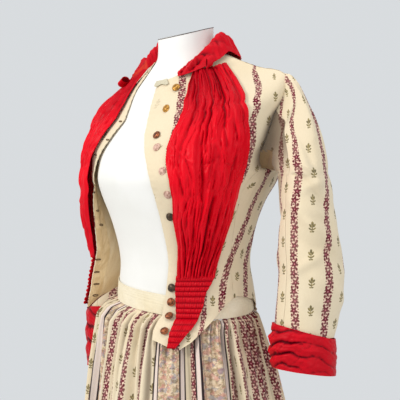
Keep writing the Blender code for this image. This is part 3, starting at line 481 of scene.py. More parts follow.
SLEEVE_COLUMNS = ("z", "out", "near", "half_out", "half_near")
SLEEVES = {
    "left": named(SLEEVE_COLUMNS, (
        (1.172, 0.1925, 0.128, 0.036, 0.058),
        (1.108, 0.1960, 0.142, 0.044, 0.056),
        (1.060, 0.1990, 0.150, 0.049, 0.053),
        (1.020, 0.2020, 0.156, 0.051, 0.050),
        (0.975, 0.1985, 0.162, 0.051, 0.046),
        (0.935, 0.1920, 0.167, 0.048, 0.043),
        (0.918, 0.1890, 0.169, 0.046, 0.041),
    )),
    "right": named(SLEEVE_COLUMNS, (
        (1.172, 0.1850, 0.121, 0.040, 0.053),
        (1.108, 0.1920, 0.121, 0.045, 0.050),
        (1.060, 0.1950, 0.122, 0.048, 0.048),
        (1.020, 0.1965, 0.125, 0.049, 0.047),
        (0.975, 0.1965, 0.129, 0.048, 0.045),
        (0.935, 0.1940, 0.133, 0.046, 0.044),
        (0.918, 0.1930, 0.134, 0.045, 0.042),
    )),
}
SLEEVE_YAW = 45.0
CAP_FULLNESS = 0.034
SLEEVE_LIFT = 0.0015
SLEEVE_GAP = 0.4
# Where the two sleeve pieces meet, from the armhole (0) past the cap (1) to the wrist (2).
SLEEVE_SEAMS = named(("v", "front_angle", "back_angle"), (
    (0.0, 58.0, -82.0),
    (0.2, 70.0, -82.0),
    (0.6, 112.0, -84.0),
    (1.0, 146.0, -90.0),
    (2.0, 140.0, -94.0),
))


def sleeve_ring(phi, z, side, off):
    """A level ring of a sleeve. phi is 0 on the outer side and 90 in front, in degrees."""
    rows = SLEEVES[WORDS[side]]
    out, near = table(rows, z, "out"), table(rows, z, "near")
    wide, deep = table(rows, z, "half_out") + off, table(rows, z, "half_near") + off
    yaw = np.radians(SLEEVE_YAW)
    a = out + wide * np.cos(np.radians(phi))
    b = near + deep * np.sin(np.radians(phi))
    x = a * np.cos(yaw) + b * np.sin(yaw)
    y = a * np.sin(yaw) - b * np.cos(yaw)
    return np.stack([side * x, y, z + 0.0 * x], -1)


def armhole_point(phi, side, off):
    """The armhole's edge: phi 0 at the shoulder tip, 90 in front, 180 under the arm."""
    turn = np.mod(phi, 360.0)
    forward = turn <= 180.0
    share = np.where(forward, turn, 360.0 - turn) / 180.0
    top, bottom = ARMHOLE["s"][0], ARMHOLE["s"][-1]
    s = top + (bottom - top) * (0.5 - 0.5 * np.cos(np.pi * share)) ** 0.9
    theta = np.where(forward, at(ARMHOLE, s, "front_angle"), at(ARMHOLE, s, "back_angle"))
    return bodice_point(side * theta, s, off + CLOTH)


def sleeve_point(phi, v, side, off):
    """A sleeve from its armhole (v 0) through the cap (v 1) and down to the wrist (v 2)."""
    rows = SLEEVES[WORDS[side]]
    top_z, end_z = rows["z"][0], rows["z"][-1]
    start = armhole_point(phi, side, SLEEVE_LIFT)
    z = np.where(v <= 1.0, top_z, top_z + (end_z - top_z) * np.clip(v - 1.0, 0.0, 1.0))
    ring = sleeve_ring(phi, z, side, off)
    t = np.clip(v, 0.0, 1.0)[..., None]
    raised = (0.5 + 0.5 * np.cos(np.radians(phi)))[..., None]
    leave = np.array([side * 0.9, 0.05, -0.15]) * (CAP_FULLNESS + 0.075 * raised)
    arrive = np.array([side * 0.0, 0.0, -1.0]) * (0.03 + 0.13 * raised)
    cap = ((2 * t ** 3 - 3 * t ** 2 + 1) * (start + np.array([side, 0.0, 0.4]) * np.asarray(off)[..., None])
           + (t ** 3 - 2 * t ** 2 + t) * leave
           + (-2 * t ** 3 + 3 * t ** 2) * ring + (t ** 3 - t ** 2) * arrive)
    return np.where((v <= 1.0)[..., None], cap, ring)


# Heights of a cuff's edges, at the sleeve's outer side and at the side next to the body.
CUFFS = {
    "left": {"top_outer": 0.915, "top_inner": 0.941, "bottom_outer": 0.857, "bottom_inner": 0.871},
    "right": {"top_outer": 0.938, "top_inner": 0.945, "bottom_outer": 0.832, "bottom_inner": 0.838},
}
COLLAR_COLUMNS = ("share", "left_angle", "left_s", "left_height", "left_reach", "left_lift",
                  "right_angle", "right_s", "right_height", "right_reach", "right_lift")
COLLAR = named(COLLAR_COLUMNS, (
    (0.00, 36.0, 2.05, 0.004, 0.30, 0.0060, 59.0, 3.70, 0.010, 0.12, 0.0085),
    (0.10, 45.0, 2.05, 0.009, 0.45, 0.0080, 62.0, 3.10, 0.015, 0.20, 0.0095),
    (0.22, 60.0, 2.05, 0.015, 0.60, 0.0095, 68.0, 2.40, 0.018, 0.35, 0.0110),
    (0.35, 80.0, 2.05, 0.020, 0.75, 0.0095, 80.0, 2.05, 0.020, 0.60, 0.0095),
    (0.48, 97.0, 2.05, 0.030, 0.85, 0.0080, 97.0, 2.05, 0.026, 0.80, 0.0080),
    (0.60, 112.0, 2.05, 0.028, 0.85, 0.0060, 112.0, 2.05, 0.026, 0.80, 0.0060),
    (0.72, 130.0, 2.05, 0.024, 0.80, 0.0055, 130.0, 2.05, 0.024, 0.80, 0.0055),
    (1.00, 179.7, 2.05, 0.025, 0.75, 0.0055, 179.7, 2.05, 0.025, 0.75, 0.0055),
))
COLLAR_STAND = 0.0014
COLLAR_ON_PANEL = 0.0031


def collar_point(t, q, side, off):
    """A collar's fold: up from the neckline (q 0), over its top (q about 0.5), out and down (q 1)."""
    theta, s, height, reach, lift = (at(COLLAR, t, WORDS[side] + "_" + label)
                                     for label in ("angle", "s", "height", "reach", "lift"))
    stand = COLLAR_STAND + COLLAR_ON_PANEL * smooth((s - NECKLINE) / 0.3)
    foot = bodice_point(side * theta, s, stand)
    edge = bodice_point(side * theta, s + reach, lift)
    away = unit(foot * LEVEL)
    arch = np.pi * q
    share = q ** 1.5
    out = -np.cos(arch) * off
    up = (height + off) * np.sin(arch)
    return (foot * (1.0 - share)[..., None] + edge * share[..., None] + away * out[..., None]
            + UP * up[..., None])


# Meshes


def new_object(name, co, corners, vertex_uvs, slots, materials):
    """A mesh object of four-sided faces: vertex places, a vertex number for each corner, maps and slots."""
    mesh = bpy.data.meshes.new(name)
    mesh.vertices.add(len(co))
    mesh.vertices.foreach_set("co", np.ascontiguousarray(co, np.float32).ravel())
    mesh.loops.add(corners.size)
    mesh.loops.foreach_set("vertex_index", corners.ravel().astype(np.int32))
    mesh.polygons.add(len(corners))
    mesh.polygons.foreach_set("loop_start", (np.arange(len(corners)) * 4).astype(np.int32))
    mesh.polygons.foreach_set("material_index", slots.astype(np.int32))
    mesh.polygons.foreach_set("use_smooth", np.full(len(corners), True))
    for label, uv in vertex_uvs.items():
        layer = mesh.uv_layers.new(name=label)
        layer.data.foreach_set("uv", uv.astype(np.float32).ravel())
    mesh.update(calc_edges=True)
    mesh.validate()
    mesh.set_sharp_from_angle(angle=np.radians(60.0))
    thing = bpy.data.objects.new(name, mesh)
    bpy.context.scene.collection.objects.link(thing)
    for material in materials:
        mesh.materials.append(material)
    return thing


def quads(spot):
    """The four-sided faces between the rows and columns of a grid of vertex numbers."""
    return np.stack([spot[:-1, :-1], spot[:-1, 1:], spot[1:, 1:], spot[1:, :-1]], -1).reshape(-1, 4)


def wrapped(grid):
    """A grid with its first column once more at its end."""
    return np.concatenate([grid, grid[:, :1]], 1)


def cap(line):
    """Four-sided faces across an even ring of vertex numbers."""
    half = len(line) // 2
    other = line[::-1]
    return np.stack([other[:half - 1], other[1:half], line[1:half], line[:half - 1]], -1)


def closed_object(name, points, faces, materials):
    """A closed mesh on a grid of points, its faces turned outwards."""
    co = points.reshape(-1, 3)
    if signed_volume(co, faces) < 0.0:
        faces = faces[:, ::-1]
    return new_object(name, co, faces, {"cloth": np.zeros((faces.size, 2))}, np.zeros(len(faces)), materials)


def signed_volume(co, corners):
    """Six times the volume inside the faces: the sum of p0 . (p1 x p2) over their triangles."""
    a, b, c, d = (co[corners[:, k]] for k in range(4))
    return np.sum(a * np.cross(b, c)) + np.sum(a * np.cross(c, d))


def cloth_wall(name, outer, inner, maps, materials, ring=False):
    """A thin wall between two equal grids of points, closed round its rim, facing outwards.

    maps gives each UV map as an array of rows by columns by 2, with one more column than the grid on a
    ring. The first material is the outside and the rim, the second the inside.
    """
    rows, columns = outer.shape[:2]
    place = np.arange(rows * columns).reshape(rows, columns)
    if ring:
        place = wrapped(place)
    step = place.size
    spot = np.arange(step).reshape(place.shape)
    front = quads(spot)
    faces = [front, front[:, [0, 3, 2, 1]] + step]
    sides = [(spot[0], 1), (spot[-1], -1)]
    if not ring:
        sides += [(spot[:, 0], -1), (spot[:, -1], 1)]
    for line, way in sides:
        ahead, behind = (line[1:], line[:-1]) if way > 0 else (line[:-1], line[1:])
        faces.append(np.stack([ahead, behind, behind + step, ahead + step], 1))
    slots = np.concatenate([np.full(len(part), 1 if k == 1 else 0) for k, part in enumerate(faces)])
    faces = np.concatenate(faces)
    vertex_of = np.concatenate([place.ravel(), place.ravel() + rows * columns])
    co = np.concatenate([outer.reshape(-1, 3), inner.reshape(-1, 3)])
    if signed_volume(co, vertex_of[faces]) < 0.0:
        faces = faces[:, ::-1]
    uvs = {label: np.concatenate([uv.reshape(-1, 2), uv.reshape(-1, 2)])[faces.ravel()]
           for label, uv in maps.items()}
    return new_object(name, co, vertex_of[faces], uvs, slots if len(materials) > 1 else slots * 0, materials)


def path(points, axis):
    """Distance along the grid lines of one axis, starting from 0."""
    gaps = np.linalg.norm(np.diff(points, axis=axis), axis=-1)
    start = np.zeros_like(np.take(gaps, [0], axis=axis))
    return np.concatenate([start, np.cumsum(gaps, axis=axis)], axis=axis)


def flat_map(points, ring=False):
    """A grid's cloth map in metres: distance along its rows and down its columns."""
    if ring:
        points = wrapped(points)
    across = path(points, 1)
    width = across[:, -1:].max()
    even = across / np.maximum(across[:, -1:], 1e-9) * width
    return np.stack([even, -path(points, 0)], -1)


def finish_sheet(piece, points, node, ring=False):
    """Parents the piece to the root empty and hides the solid that it stands in for."""
    if ring:
        points = wrapped(points)
    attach(piece, "root")
    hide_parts(node)


def creases(x, y, rows):
    """Soft ridges and troughs: each row is a line (x0, y0) to (x1, y1) with a width and a height.

    The height falls off as exp(-(distance / width) squared) from the line, and fades at its two ends.
    """
    out = np.zeros(np.broadcast(x, y).shape)
    for x0, y0, x1, y1, width, height in rows:
        ax, ay = x1 - x0, y1 - y0
        long = np.hypot(ax, ay)
        t = ((x - x0) * ax + (y - y0) * ay) / long ** 2
        held = np.clip(t, 0.0, 1.0)
        away = np.hypot(x - x0 - held * ax, y - y0 - held * ay)
        out = out + height * np.exp(-(away / width) ** 2) * (0.55 + 0.45 * np.sin(np.pi * held))
    return out


def single_map(values):
    """A UV map of one number for each point, with 0 as its second."""
    return np.stack([values, 0.0 * values], -1)


def scaled_rows(rows, across, down):
    """Rows of creases whose places are shares or angles, turned to metres."""
    return [(x0 * across, y0 * down, x1 * across, y1 * down, width, height)
            for x0, y0, x1, y1, width, height in rows]


def depth_map(height, window, reach, ring=False):
    """How far each point lies below its row's running mean, as a share of reach between 0 and 1."""
    half = max(int(height.shape[1] * window / 2.0), 1)
    wide = np.pad(height, ((0, 0), (half, half)), mode="wrap" if ring else "edge")
    total = np.cumsum(np.pad(wide, ((0, 0), (1, 0))), axis=1)
    mean = (total[:, 2 * half + 1:] - total[:, :-2 * half - 1]) / (2 * half + 1)
    deep = smooth((mean - height) / reach)
    return single_map(wrapped(deep) if ring else deep)


def drift(x, y, seed):
    """Slow unevenness between -1 and 1: a sum of three sine waves at odd angles."""
    a, b, c = seed * 1.7, seed * 2.3 + 1.1, seed * 3.1 + 2.2
    return (np.sin(x * 1.0 + y * 0.7 + a) + 0.7 * np.sin(x * -1.9 + y * 2.3 + b)
            + 0.5 * np.sin(x * 3.7 + y * 3.1 + c)) / 2.2


def tube(name, centre, radius, sides, materials, closed=True):
    """A round tube along a line of points: rings at right angles to the line's direction."""
    ahead = np.roll(centre, -1, 0) - np.roll(centre, 1, 0)
    if not closed:
        ahead[0], ahead[-1] = centre[1] - centre[0], centre[-1] - centre[-2]
    ahead = unit(ahead)
    one = np.cross(ahead, UP)
    one = one / np.maximum(np.linalg.norm(one, axis=1, keepdims=True), 1e-9)
    two = np.cross(one, ahead)
    turn = np.arange(sides) * 2.0 * np.pi / sides
    co = (centre[:, None] + radius * (np.cos(turn)[None, :, None] * one[:, None]
                                      + np.sin(turn)[None, :, None] * two[:, None]))
    count = len(centre)
    spot = np.arange(count * sides).reshape(count, sides)
    if closed:
        spot = np.concatenate([spot, spot[:1]])
    return closed_object(name, co, quads(wrapped(spot)), materials)


# Materials


class Nodes:
    """Adds shader nodes and joins them; a plain number in place of a socket is set on the input itself."""

    def __init__(self, name):
        self.material = bpy.data.materials.new(name)
        self.material.use_nodes = True
        self.tree = self.material.node_tree
        self.tree.nodes.clear()
        self.output = self.tree.nodes.new("ShaderNodeOutputMaterial")
        self.shader = self.tree.nodes.new("ShaderNodeBsdfPrincipled")
        self.tree.links.new(self.shader.outputs[0], self.output.inputs[0])

    def put(self, socket, value):
        if isinstance(value, bpy.types.NodeSocket):
            self.tree.links.new(value, socket)
        elif socket.type == "RGBA":
            socket.default_value = tuple(value)[:3] + (1.0,)
        else:
            socket.default_value = value

    def surface(self, **inputs):
        for label, value in inputs.items():
            self.put(self.shader.inputs[label.replace("_", " ")], value)

    def add(self, kind, inputs=(), output=0, **settings):
        """Makes a node with its settings and inputs, the inputs by number or by name, and gives one output."""
        node = self.tree.nodes.new("ShaderNode" + kind)
        for label, value in settings.items():
            setattr(node, label, value)
        for key, value in inputs.items() if isinstance(inputs, dict) else enumerate(inputs):
            self.put(node.inputs[key], value)
        return node.outputs[output]

    def math(self, operation, *values):
        return self.add("Math", values, operation=operation)

    def plus(self, first, second):
        return self.math("ADD", first, second)

    def minus(self, first, second):
        return self.math("SUBTRACT", first, second)

    def times(self, first, second):
        return self.math("MULTIPLY", first, second)

    def uv(self, name):
        return self.add("UVMap", uv_map=name)

    def object_place(self):
        return self.add("TexCoord", output="Object")

    def parts(self, vector):
        node = self.tree.nodes.new("ShaderNodeSeparateXYZ")
        self.put(node.inputs[0], vector)
        return node.outputs[0], node.outputs[1], node.outputs[2]

    def vector(self, x, y, z=0.0):
        return self.add("CombineXYZ", (x, y, z))

    def scaled(self, vector, x, y, z=1.0):
        return self.add("VectorMath", (vector, (x, y, z)), operation="MULTIPLY")

    def noise(self, vector, scale, detail=2.0, rough=0.5):
        return self.add("TexNoise", {"Vector": vector, "Scale": scale, "Detail": detail, "Roughness": rough})

    def cells(self, vector, scale):
        """Distance from the middle of the nearest of many irregular cells."""
        return self.add("TexVoronoi", {"Vector": vector, "Scale": scale}, "Distance")

    def between(self, value, low, high, to_low=0.0, to_high=1.0):
        """A smooth step: to_low up to the low value, to_high from the high one on."""
        return self.add("MapRange", (value, low, high, to_low, to_high), interpolation_type="SMOOTHSTEP")

    def mix(self, share, first, second):
        return self.add("Mix", {0: share, 6: first, 7: second}, 2, data_type="RGBA")

    def bump(self, height, strength, distance):
        return self.add("Bump", {"Height": height, "Strength": strength, "Distance": distance})

    def nearest(self, value):
        """Signed distance of a number from the nearest whole number, and that whole number."""
        whole = self.math("ROUND", value)
        return self.minus(value, whole), whole

    def leaf(self, x, y, at_x, at_y, half_x, half_y, lean=0.0):
        """1 inside an ellipse at (at_x, at_y) that leans by an angle in degrees, with a soft edge."""
        turn = np.radians(lean)
        dx, dy = self.minus(x, at_x), self.minus(y, at_y)
        along = self.plus(self.times(dx, float(np.cos(turn) / half_x)),
                          self.times(dy, float(np.sin(turn) / half_x)))
        up = self.plus(self.times(dx, float(-np.sin(turn) / half_y)),
                       self.times(dy, float(np.cos(turn) / half_y)))
        reach = self.plus(self.times(along, along), self.times(up, up))
        return self.between(reach, 1.35, 0.7)

    def most(self, values):
        out = values[0]
        for value in values[1:]:
            out = self.math("MAXIMUM", out, value)
        return out


# Repeats of the print in metres, and a sprig's leaves: place, half sizes and lean.
STRIPE_PITCH = 0.058
FLOWER_STEP = 0.0145
SPRIG_STEP = 0.0437
BAND_PITCH = 0.084
BAND_LINES = (0.245, 0.33)
LEAVES = (
    (0.0, 0.0062, 0.0019, 0.0034, 0.0), (0.0027, 0.0030, 0.0015, 0.0031, -32.0),
    (-0.0027, 0.0034, 0.0015, 0.0031, 32.0), (0.0029, -0.0022, 0.0012, 0.0028, -50.0),
    (-0.0029, -0.0018, 0.0012, 0.0028, 50.0), (0.0, -0.0015, 0.0008, 0.0062, 0.0),
    (0.0019, -0.0066, 0.0014, 0.0012, 20.0), (-0.0018, -0.0064, 0.0014, 0.0012, -20.0),
)
# Soft flowers of the bands: shift and fineness of a noise, where it starts to show, and the tone.
BAND_FLOWERS = (
    (0.3, 105.0, 0.52, linear(198, 118, 116)), (1.7, 85.0, 0.54, linear(112, 122, 146)),
    (3.1, 140.0, 0.54, linear(128, 112, 66)), (4.9, 170.0, 0.57, linear(232, 214, 184)),
    (6.3, 190.0, 0.60, linear(96, 64, 60)),
)


def weave(nodes, strength):
    """A plain weave: small threads both ways and slow unevenness, as a bump."""
    cloth = nodes.uv("cloth")
    across = nodes.noise(nodes.scaled(cloth, 1400.0, 160.0), 1.0, 2.0)
    along = nodes.noise(nodes.scaled(cloth, 160.0, 1400.0), 1.0, 2.0)
    return nodes.bump(nodes.plus(across, along), strength, 0.0006), across, along


def printed_cotton(name, palette, bands, quiet=False):
    """Cream cotton with crimson flower stripes, olive sprigs, and on the skirt flowered bands.

    Stripes stand at whole numbers of the print map's first number, sprigs at the halves. The second number
    is metres along the cloth. The shade map, 1 where the cloth lies deepest, mixes in a dark brown as painted
    shade. A flower's edge lies at 5.3 mm + 1.6 mm x cos(5 x angle) from its middle.
    """
    nodes = Nodes(name)
    normal, across, along = weave(nodes, 0.35)
    c, v, _ = nodes.parts(nodes.uv("print"))
    place = nodes.vector(nodes.times(c, STRIPE_PITCH), v)
    wobble = nodes.minus(nodes.noise(place, 420.0, 3.0), 0.5)
    off, _ = nodes.nearest(c)
    x = nodes.times(off, STRIPE_PITCH)
    fy, flower = nodes.nearest(nodes.math("DIVIDE", v, FLOWER_STEP))
    y = nodes.times(fy, FLOWER_STEP)
    way = nodes.minus(nodes.times(nodes.math("PINGPONG", flower, 1.0), 0.0026), 0.0013)
    dx = nodes.minus(x, way)
    reach = nodes.math("SQRT", nodes.plus(nodes.times(dx, dx), nodes.times(y, y)))
    angle = nodes.plus(nodes.math("ARCTAN2", y, dx), nodes.times(flower, 1.3))
    petals = nodes.math("COSINE", nodes.times(angle, 5.0))
    edge = nodes.plus(0.0053, nodes.times(petals, 0.0016))
    inside = nodes.minus(edge, nodes.plus(reach, nodes.times(wobble, 0.0012)))
    bloom = nodes.between(inside, -0.0004, 0.0004)
    eye = nodes.between(reach, 0.0013, 0.0007)
    by, _ = nodes.nearest(nodes.plus(nodes.math("DIVIDE", v, FLOWER_STEP), 0.5))
    by = nodes.times(by, FLOWER_STEP)
    wide = nodes.math("ABSOLUTE", x)
    wob_y = nodes.plus(by, nodes.times(wobble, 0.002))
    bud = nodes.leaf(wide, wob_y, 0.0050, 0.0, 0.0020, 0.0026)
    inner_bud = nodes.leaf(wide, by, 0.0014, 0.0006, 0.0012, 0.0015)
    dots = nodes.leaf(wide, nodes.math("ABSOLUTE", by), 0.0062, 0.0050, 0.0010, 0.0010)
    ground = nodes.times(nodes.between(wide, 0.0070, 0.0048),
                         nodes.between(wobble, -0.10, 0.22, 0.10, 0.62))
    worn = nodes.noise(nodes.scaled(nodes.uv("print"), 0.6, 60.0), 1.0, 1.0)
    fallen = nodes.between(worn, 0.3, 0.7, 0.86, 1.0)
    slow = nodes.noise(place, 9.0, 3.0)
    cream = nodes.mix(nodes.between(slow, 0.3, 0.7, 0.0, 0.5), palette.cream, linear(216, 198, 164))
    fine = nodes.between(nodes.plus(across, along), 0.7, 1.3, 0.0, 0.28)
    cream = nodes.mix(fine, cream, linear(204, 184, 150))
    tone = nodes.mix(ground, cream, palette.pink)
    dark = nodes.mix(nodes.between(nodes.noise(place, 300.0, 2.0), 0.40, 0.62), palette.crimson,
                     linear(84, 6, 26))
    flecks = nodes.between(nodes.noise(place, 520.0, 1.0), 0.66, 0.72, 0.0, 0.35)
    dark = nodes.mix(flecks, dark, palette.pink)
    red = nodes.most([bloom, bud, inner_bud, nodes.times(dots, 0.85)])
    tone = nodes.mix(nodes.times(red, fallen), tone, dark)
    tone = nodes.mix(nodes.times(eye, 0.75), tone, palette.pink)
    half, column = nodes.nearest(nodes.plus(c, 0.5))
    sx = nodes.times(half, STRIPE_PITCH)
    shifted = nodes.plus(nodes.math("DIVIDE", v, SPRIG_STEP),
                         nodes.times(nodes.math("PINGPONG", column, 1.0), 0.45))
    sy, _ = nodes.nearest(shifted)
    sy = nodes.plus(nodes.times(sy, SPRIG_STEP), nodes.times(wobble, 0.0012))
    sprig = nodes.most([nodes.leaf(sx, sy, *leaf) for leaf in LEAVES])
    if quiet:
        sprig = nodes.times(sprig, nodes.between(c, -0.46, -0.34, 0.25, 1.0))
    green = nodes.mix(nodes.between(nodes.noise(place, 260.0, 1.0), 0.4, 0.6), palette.olive,
                      linear(134, 116, 62))
    tone = nodes.mix(nodes.times(sprig, 0.9), tone, green)
    if bands:
        f, _, _ = nodes.parts(nodes.uv("bands"))
        away, _ = nodes.nearest(f)
        away = nodes.math("ABSOLUTE", away)
        in_band = nodes.between(away, 0.335, 0.325)
        flowered = nodes.between(away, 0.245, 0.235)
        spot = nodes.vector(nodes.times(f, BAND_PITCH), v)
        mottle = nodes.noise(spot, 120.0, 3.0, 0.6)
        base = nodes.mix(nodes.between(mottle, 0.40, 0.60), palette.band, linear(196, 168, 136))
        for move, scale, low, tint in BAND_FLOWERS:
            moved = nodes.vector(nodes.plus(nodes.times(f, BAND_PITCH), move), v)
            patch = nodes.between(nodes.noise(moved, scale, 2.0), low, low + 0.05)
            base = nodes.mix(nodes.times(patch, 0.50), base, tint)
        specks = nodes.between(nodes.cells(spot, 260.0), 0.30, 0.16, 0.0, 0.35)
        base = nodes.mix(specks, base, linear(110, 84, 70))
        edge_tone = nodes.mix(nodes.between(nodes.noise(spot, 600.0, 1.0), 0.4, 0.6, 0.0, 0.4), palette.lilac,
                              palette.cream)
        band_tone = nodes.mix(flowered, edge_tone, base)
        lines = nodes.most([nodes.between(nodes.math("ABSOLUTE", nodes.minus(away, level)),
                                          0.021, 0.013) for level in BAND_LINES])
        band_tone = nodes.mix(lines, band_tone, linear(40, 24, 26))
        tone = nodes.mix(in_band, tone, band_tone)
    # Painted shade: the shade map darkens the cloth towards a dark brown.
    shade, _, _ = nodes.parts(nodes.uv("shade"))
    tone = nodes.mix(shade, tone, linear(70, 46, 28))
    nodes.surface(Base_Color=tone, Roughness=0.86, Sheen_Weight=0.15, Sheen_Roughness=0.5,
                  Specular_IOR_Level=0.25, Normal=normal)
    return nodes.material


def plain_cloth(name, base, second, grain):
    """A single-colour woven cloth: slow and fine unevenness between two near tones."""
    nodes = Nodes(name)
    normal, across, along = weave(nodes, grain)
    cloth = nodes.uv("cloth")
    slow = nodes.noise(cloth, 14.0, 3.0)
    share = nodes.plus(nodes.between(slow, 0.3, 0.7, 0.0, 0.55),
                       nodes.between(nodes.plus(across, along), 0.7, 1.3, 0.0, 0.35))
    nodes.surface(Base_Color=nodes.mix(share, base, second), Roughness=0.88, Sheen_Weight=0.12,
                  Specular_IOR_Level=0.2, Normal=normal)
    return nodes.material


def satin_cloth(name, base, second, rough, shadow=linear(92, 0, 14)):
    """Red silk: a soft light, slubs along the threads, and painted shade, a darker red towards the shadow
    colour, where its depth map is 1.
    """
    nodes = Nodes(name)
    cloth = nodes.uv("cloth")
    slubs = nodes.noise(nodes.scaled(cloth, 1300.0, 60.0), 1.0, 3.0, 0.6)
    crumple = nodes.noise(nodes.scaled(cloth, 90.0, 36.0), 1.0, 4.0, 0.6)
    slow = nodes.noise(cloth, 12.0, 2.0)
    share = nodes.plus(nodes.between(slow, 0.3, 0.7, 0.0, 0.6), nodes.between(slubs, 0.55, 0.8, 0.0, 0.3))
    deep, _, _ = nodes.parts(nodes.uv("depth"))
    # Painted shade: the depth map mixes the red towards the shadow colour.
    tone = nodes.mix(deep, nodes.mix(share, base, second), shadow)
    height = nodes.plus(nodes.times(slubs, 0.25), crumple)
    nodes.surface(Base_Color=tone,
                  Roughness=nodes.between(crumple, 0.35, 0.7, rough, rough + 0.14),
                  Specular_IOR_Level=0.09, Sheen_Weight=0.02, Sheen_Roughness=0.4,
                  Sheen_Tint=(0.9, 0.1, 0.1),
                  Normal=nodes.bump(height, 0.5, 0.0016))
    return nodes.material


def form_cloth(name, palette):
    """White jersey over the form: fine ribs and a faint grey shading."""
    nodes = Nodes(name)
    place = nodes.object_place()
    fine = nodes.noise(nodes.scaled(place, 1.0, 1.0, 0.2), 1500.0, 2.0)
    slow = nodes.noise(place, 11.0, 3.0)
    tone = nodes.mix(nodes.between(slow, 0.35, 0.7, 0.0, 0.6), palette.form, linear(234, 232, 228))
    nodes.surface(Base_Color=tone, Roughness=0.9, Specular_IOR_Level=0.2, Sheen_Weight=0.1,
                  Normal=nodes.bump(fine, 0.25, 0.0005))
    return nodes.material


def steel(name):
    """Brushed steel: streaks round the pole and small wear in its roughness."""
    nodes = Nodes(name)
    place = nodes.object_place()
    streaks = nodes.noise(nodes.scaled(place, 60.0, 60.0, 900.0), 1.0, 3.0)
    wear = nodes.noise(place, 35.0, 4.0)
    tone = nodes.mix(nodes.between(wear, 0.4, 0.7), linear(168, 170, 172), linear(140, 142, 146))
    rough = nodes.plus(nodes.between(streaks, 0.3, 0.7, 0.22, 0.38), nodes.between(wear, 0.5, 0.7, 0.0, 0.15))
    nodes.surface(Base_Color=tone, Metallic=1.0, Roughness=rough, Normal=nodes.bump(streaks, 0.2, 0.0003))
    return nodes.material


def button_metal(name, base, dark, metal):
    """Stamped metal or shell: a dull face with darker and lighter patches at random, and uneven roughness."""
    nodes = Nodes(name)
    place = nodes.object_place()
    wear = nodes.noise(place, 260.0, 4.0, 0.6)
    fine = nodes.noise(place, 1400.0, 2.0)
    tone = nodes.mix(nodes.between(wear, 0.42, 0.62), base, dark)
    nodes.surface(Base_Color=tone, Metallic=metal, Roughness=nodes.between(fine, 0.3, 0.7, 0.30, 0.50),
                  Specular_IOR_Level=0.5, Normal=nodes.bump(nodes.plus(wear, fine), 0.4, 0.0005))
    return nodes.material


def floor_paint(name, palette):
    """Plain pale paper: one tone with faint grain."""
    nodes = Nodes(name)
    grain = nodes.noise(nodes.object_place(), 500.0, 2.0)
    nodes.surface(Base_Color=nodes.mix(nodes.between(grain, 0.3, 0.7, 0.0, 0.15), palette.floor,
                                       linear(206, 209, 212)),
                  Roughness=0.95, Specular_IOR_Level=0.1)
    return nodes.material


# Print maps: the stripe numbers, and the angles at which the stripes lie on each ring.
PRINT_UNITS = (-1.0, 0.0, 1.0, 2.0, 3.0, 4.0, 5.0, 5.5)
BODICE_STRIPES = named(("s", "a", "b", "c", "d", "e", "f", "g", "h"), (
    (2.0, -12.0, 45.0, 110.0, 150.0, 160.0, 168.0, 176.0, 180.0),
    (3.0, -13.0, 34.0, 108.5, 132.0, 153.0, 164.0, 174.5, 180.0),
    (3.6, -13.6, 28.0, 97.0, 122.0, 148.8, 161.6, 173.6, 180.0),
    (4.0, -14.0, 24.0, 87.0, 113.0, 146.0, 160.0, 173.0, 180.0),
    (5.0, -20.0, 18.3, 68.0, 95.0, 132.0, 152.0, 170.0, 180.0),
    (6.0, -18.0, 19.5, 68.0, 92.0, 122.0, 146.0, 168.0, 180.0),
    (7.0, -16.0, 21.0, 74.5, 90.3, 118.0, 143.0, 166.0, 180.0),
    (8.25, -10.0, 28.0, 81.5, 96.0, 119.0, 143.0, 166.0, 180.0),
    (9.0, -6.0, 33.0, 83.0, 100.0, 126.0, 145.0, 167.0, 180.0),
    (10.0, -4.0, 36.0, 74.0, 98.0, 124.0, 144.0, 166.0, 180.0),
    (11.0, -3.0, 37.0, 66.0, 94.0, 118.0, 140.0, 164.0, 180.0),
    (12.0, -2.0, 38.0, 60.0, 88.0, 110.0, 134.0, 161.0, 180.0),
    (14.0, -2.0, 36.0, 54.0, 73.0, 98.5, 127.0, 160.0, 180.0),
    (17.0, -2.0, 36.0, 50.0, 60.0, 88.0, 120.0, 158.0, 180.0),
))
SLEEVE_UNITS = np.arange(-3.0, 7.0)
SLEEVE_STRIPES = named(("v", "a", "b", "c", "d", "e", "f", "g", "h", "i", "j"), (
    (0.00, -222.0, -160.0, -100.0, -42.0, 14.0, 45.0, 130.0, 200.0, 262.0, 324.0),
    (0.14, -212.0, -150.0, -90.0, -25.0, 33.0, 72.0, 145.0, 215.0, 277.0, 339.0),
    (0.29, -202.0, -140.0, -75.0, -6.0, 57.0, 92.0, 160.0, 225.0, 287.0, 349.0),
    (0.50, -182.0, -120.0, -60.0, 8.0, 81.0, 121.0, 180.0, 240.0, 302.0, 364.0),
    (0.66, -167.0, -105.0, -45.0, 26.0, 99.0, 144.0, 200.0, 255.0, 317.0, 379.0),
    (0.86, -154.0, -92.0, -30.0, 34.0, 108.0, 164.0, 222.0, 280.0, 342.0, 404.0),
    (1.08, -147.0, -85.0, -24.0, 37.0, 115.0, 176.0, 236.0, 296.0, 358.0, 420.0),
    (1.27, -136.0, -74.0, -12.0, 50.0, 122.0, 178.0, 238.0, 298.0, 360.0, 422.0),
    (1.51, -124.0, -62.0, 0.0, 62.0, 125.0, 178.0, 238.0, 298.0, 360.0, 422.0),
    (1.76, -123.0, -61.0, 1.0, 63.0, 122.0, 178.0, 238.0, 298.0, 360.0, 422.0),
    (2.00, -128.0, -66.0, -5.0, 55.0, 110.0, 172.0, 232.0, 292.0, 354.0, 416.0),
))
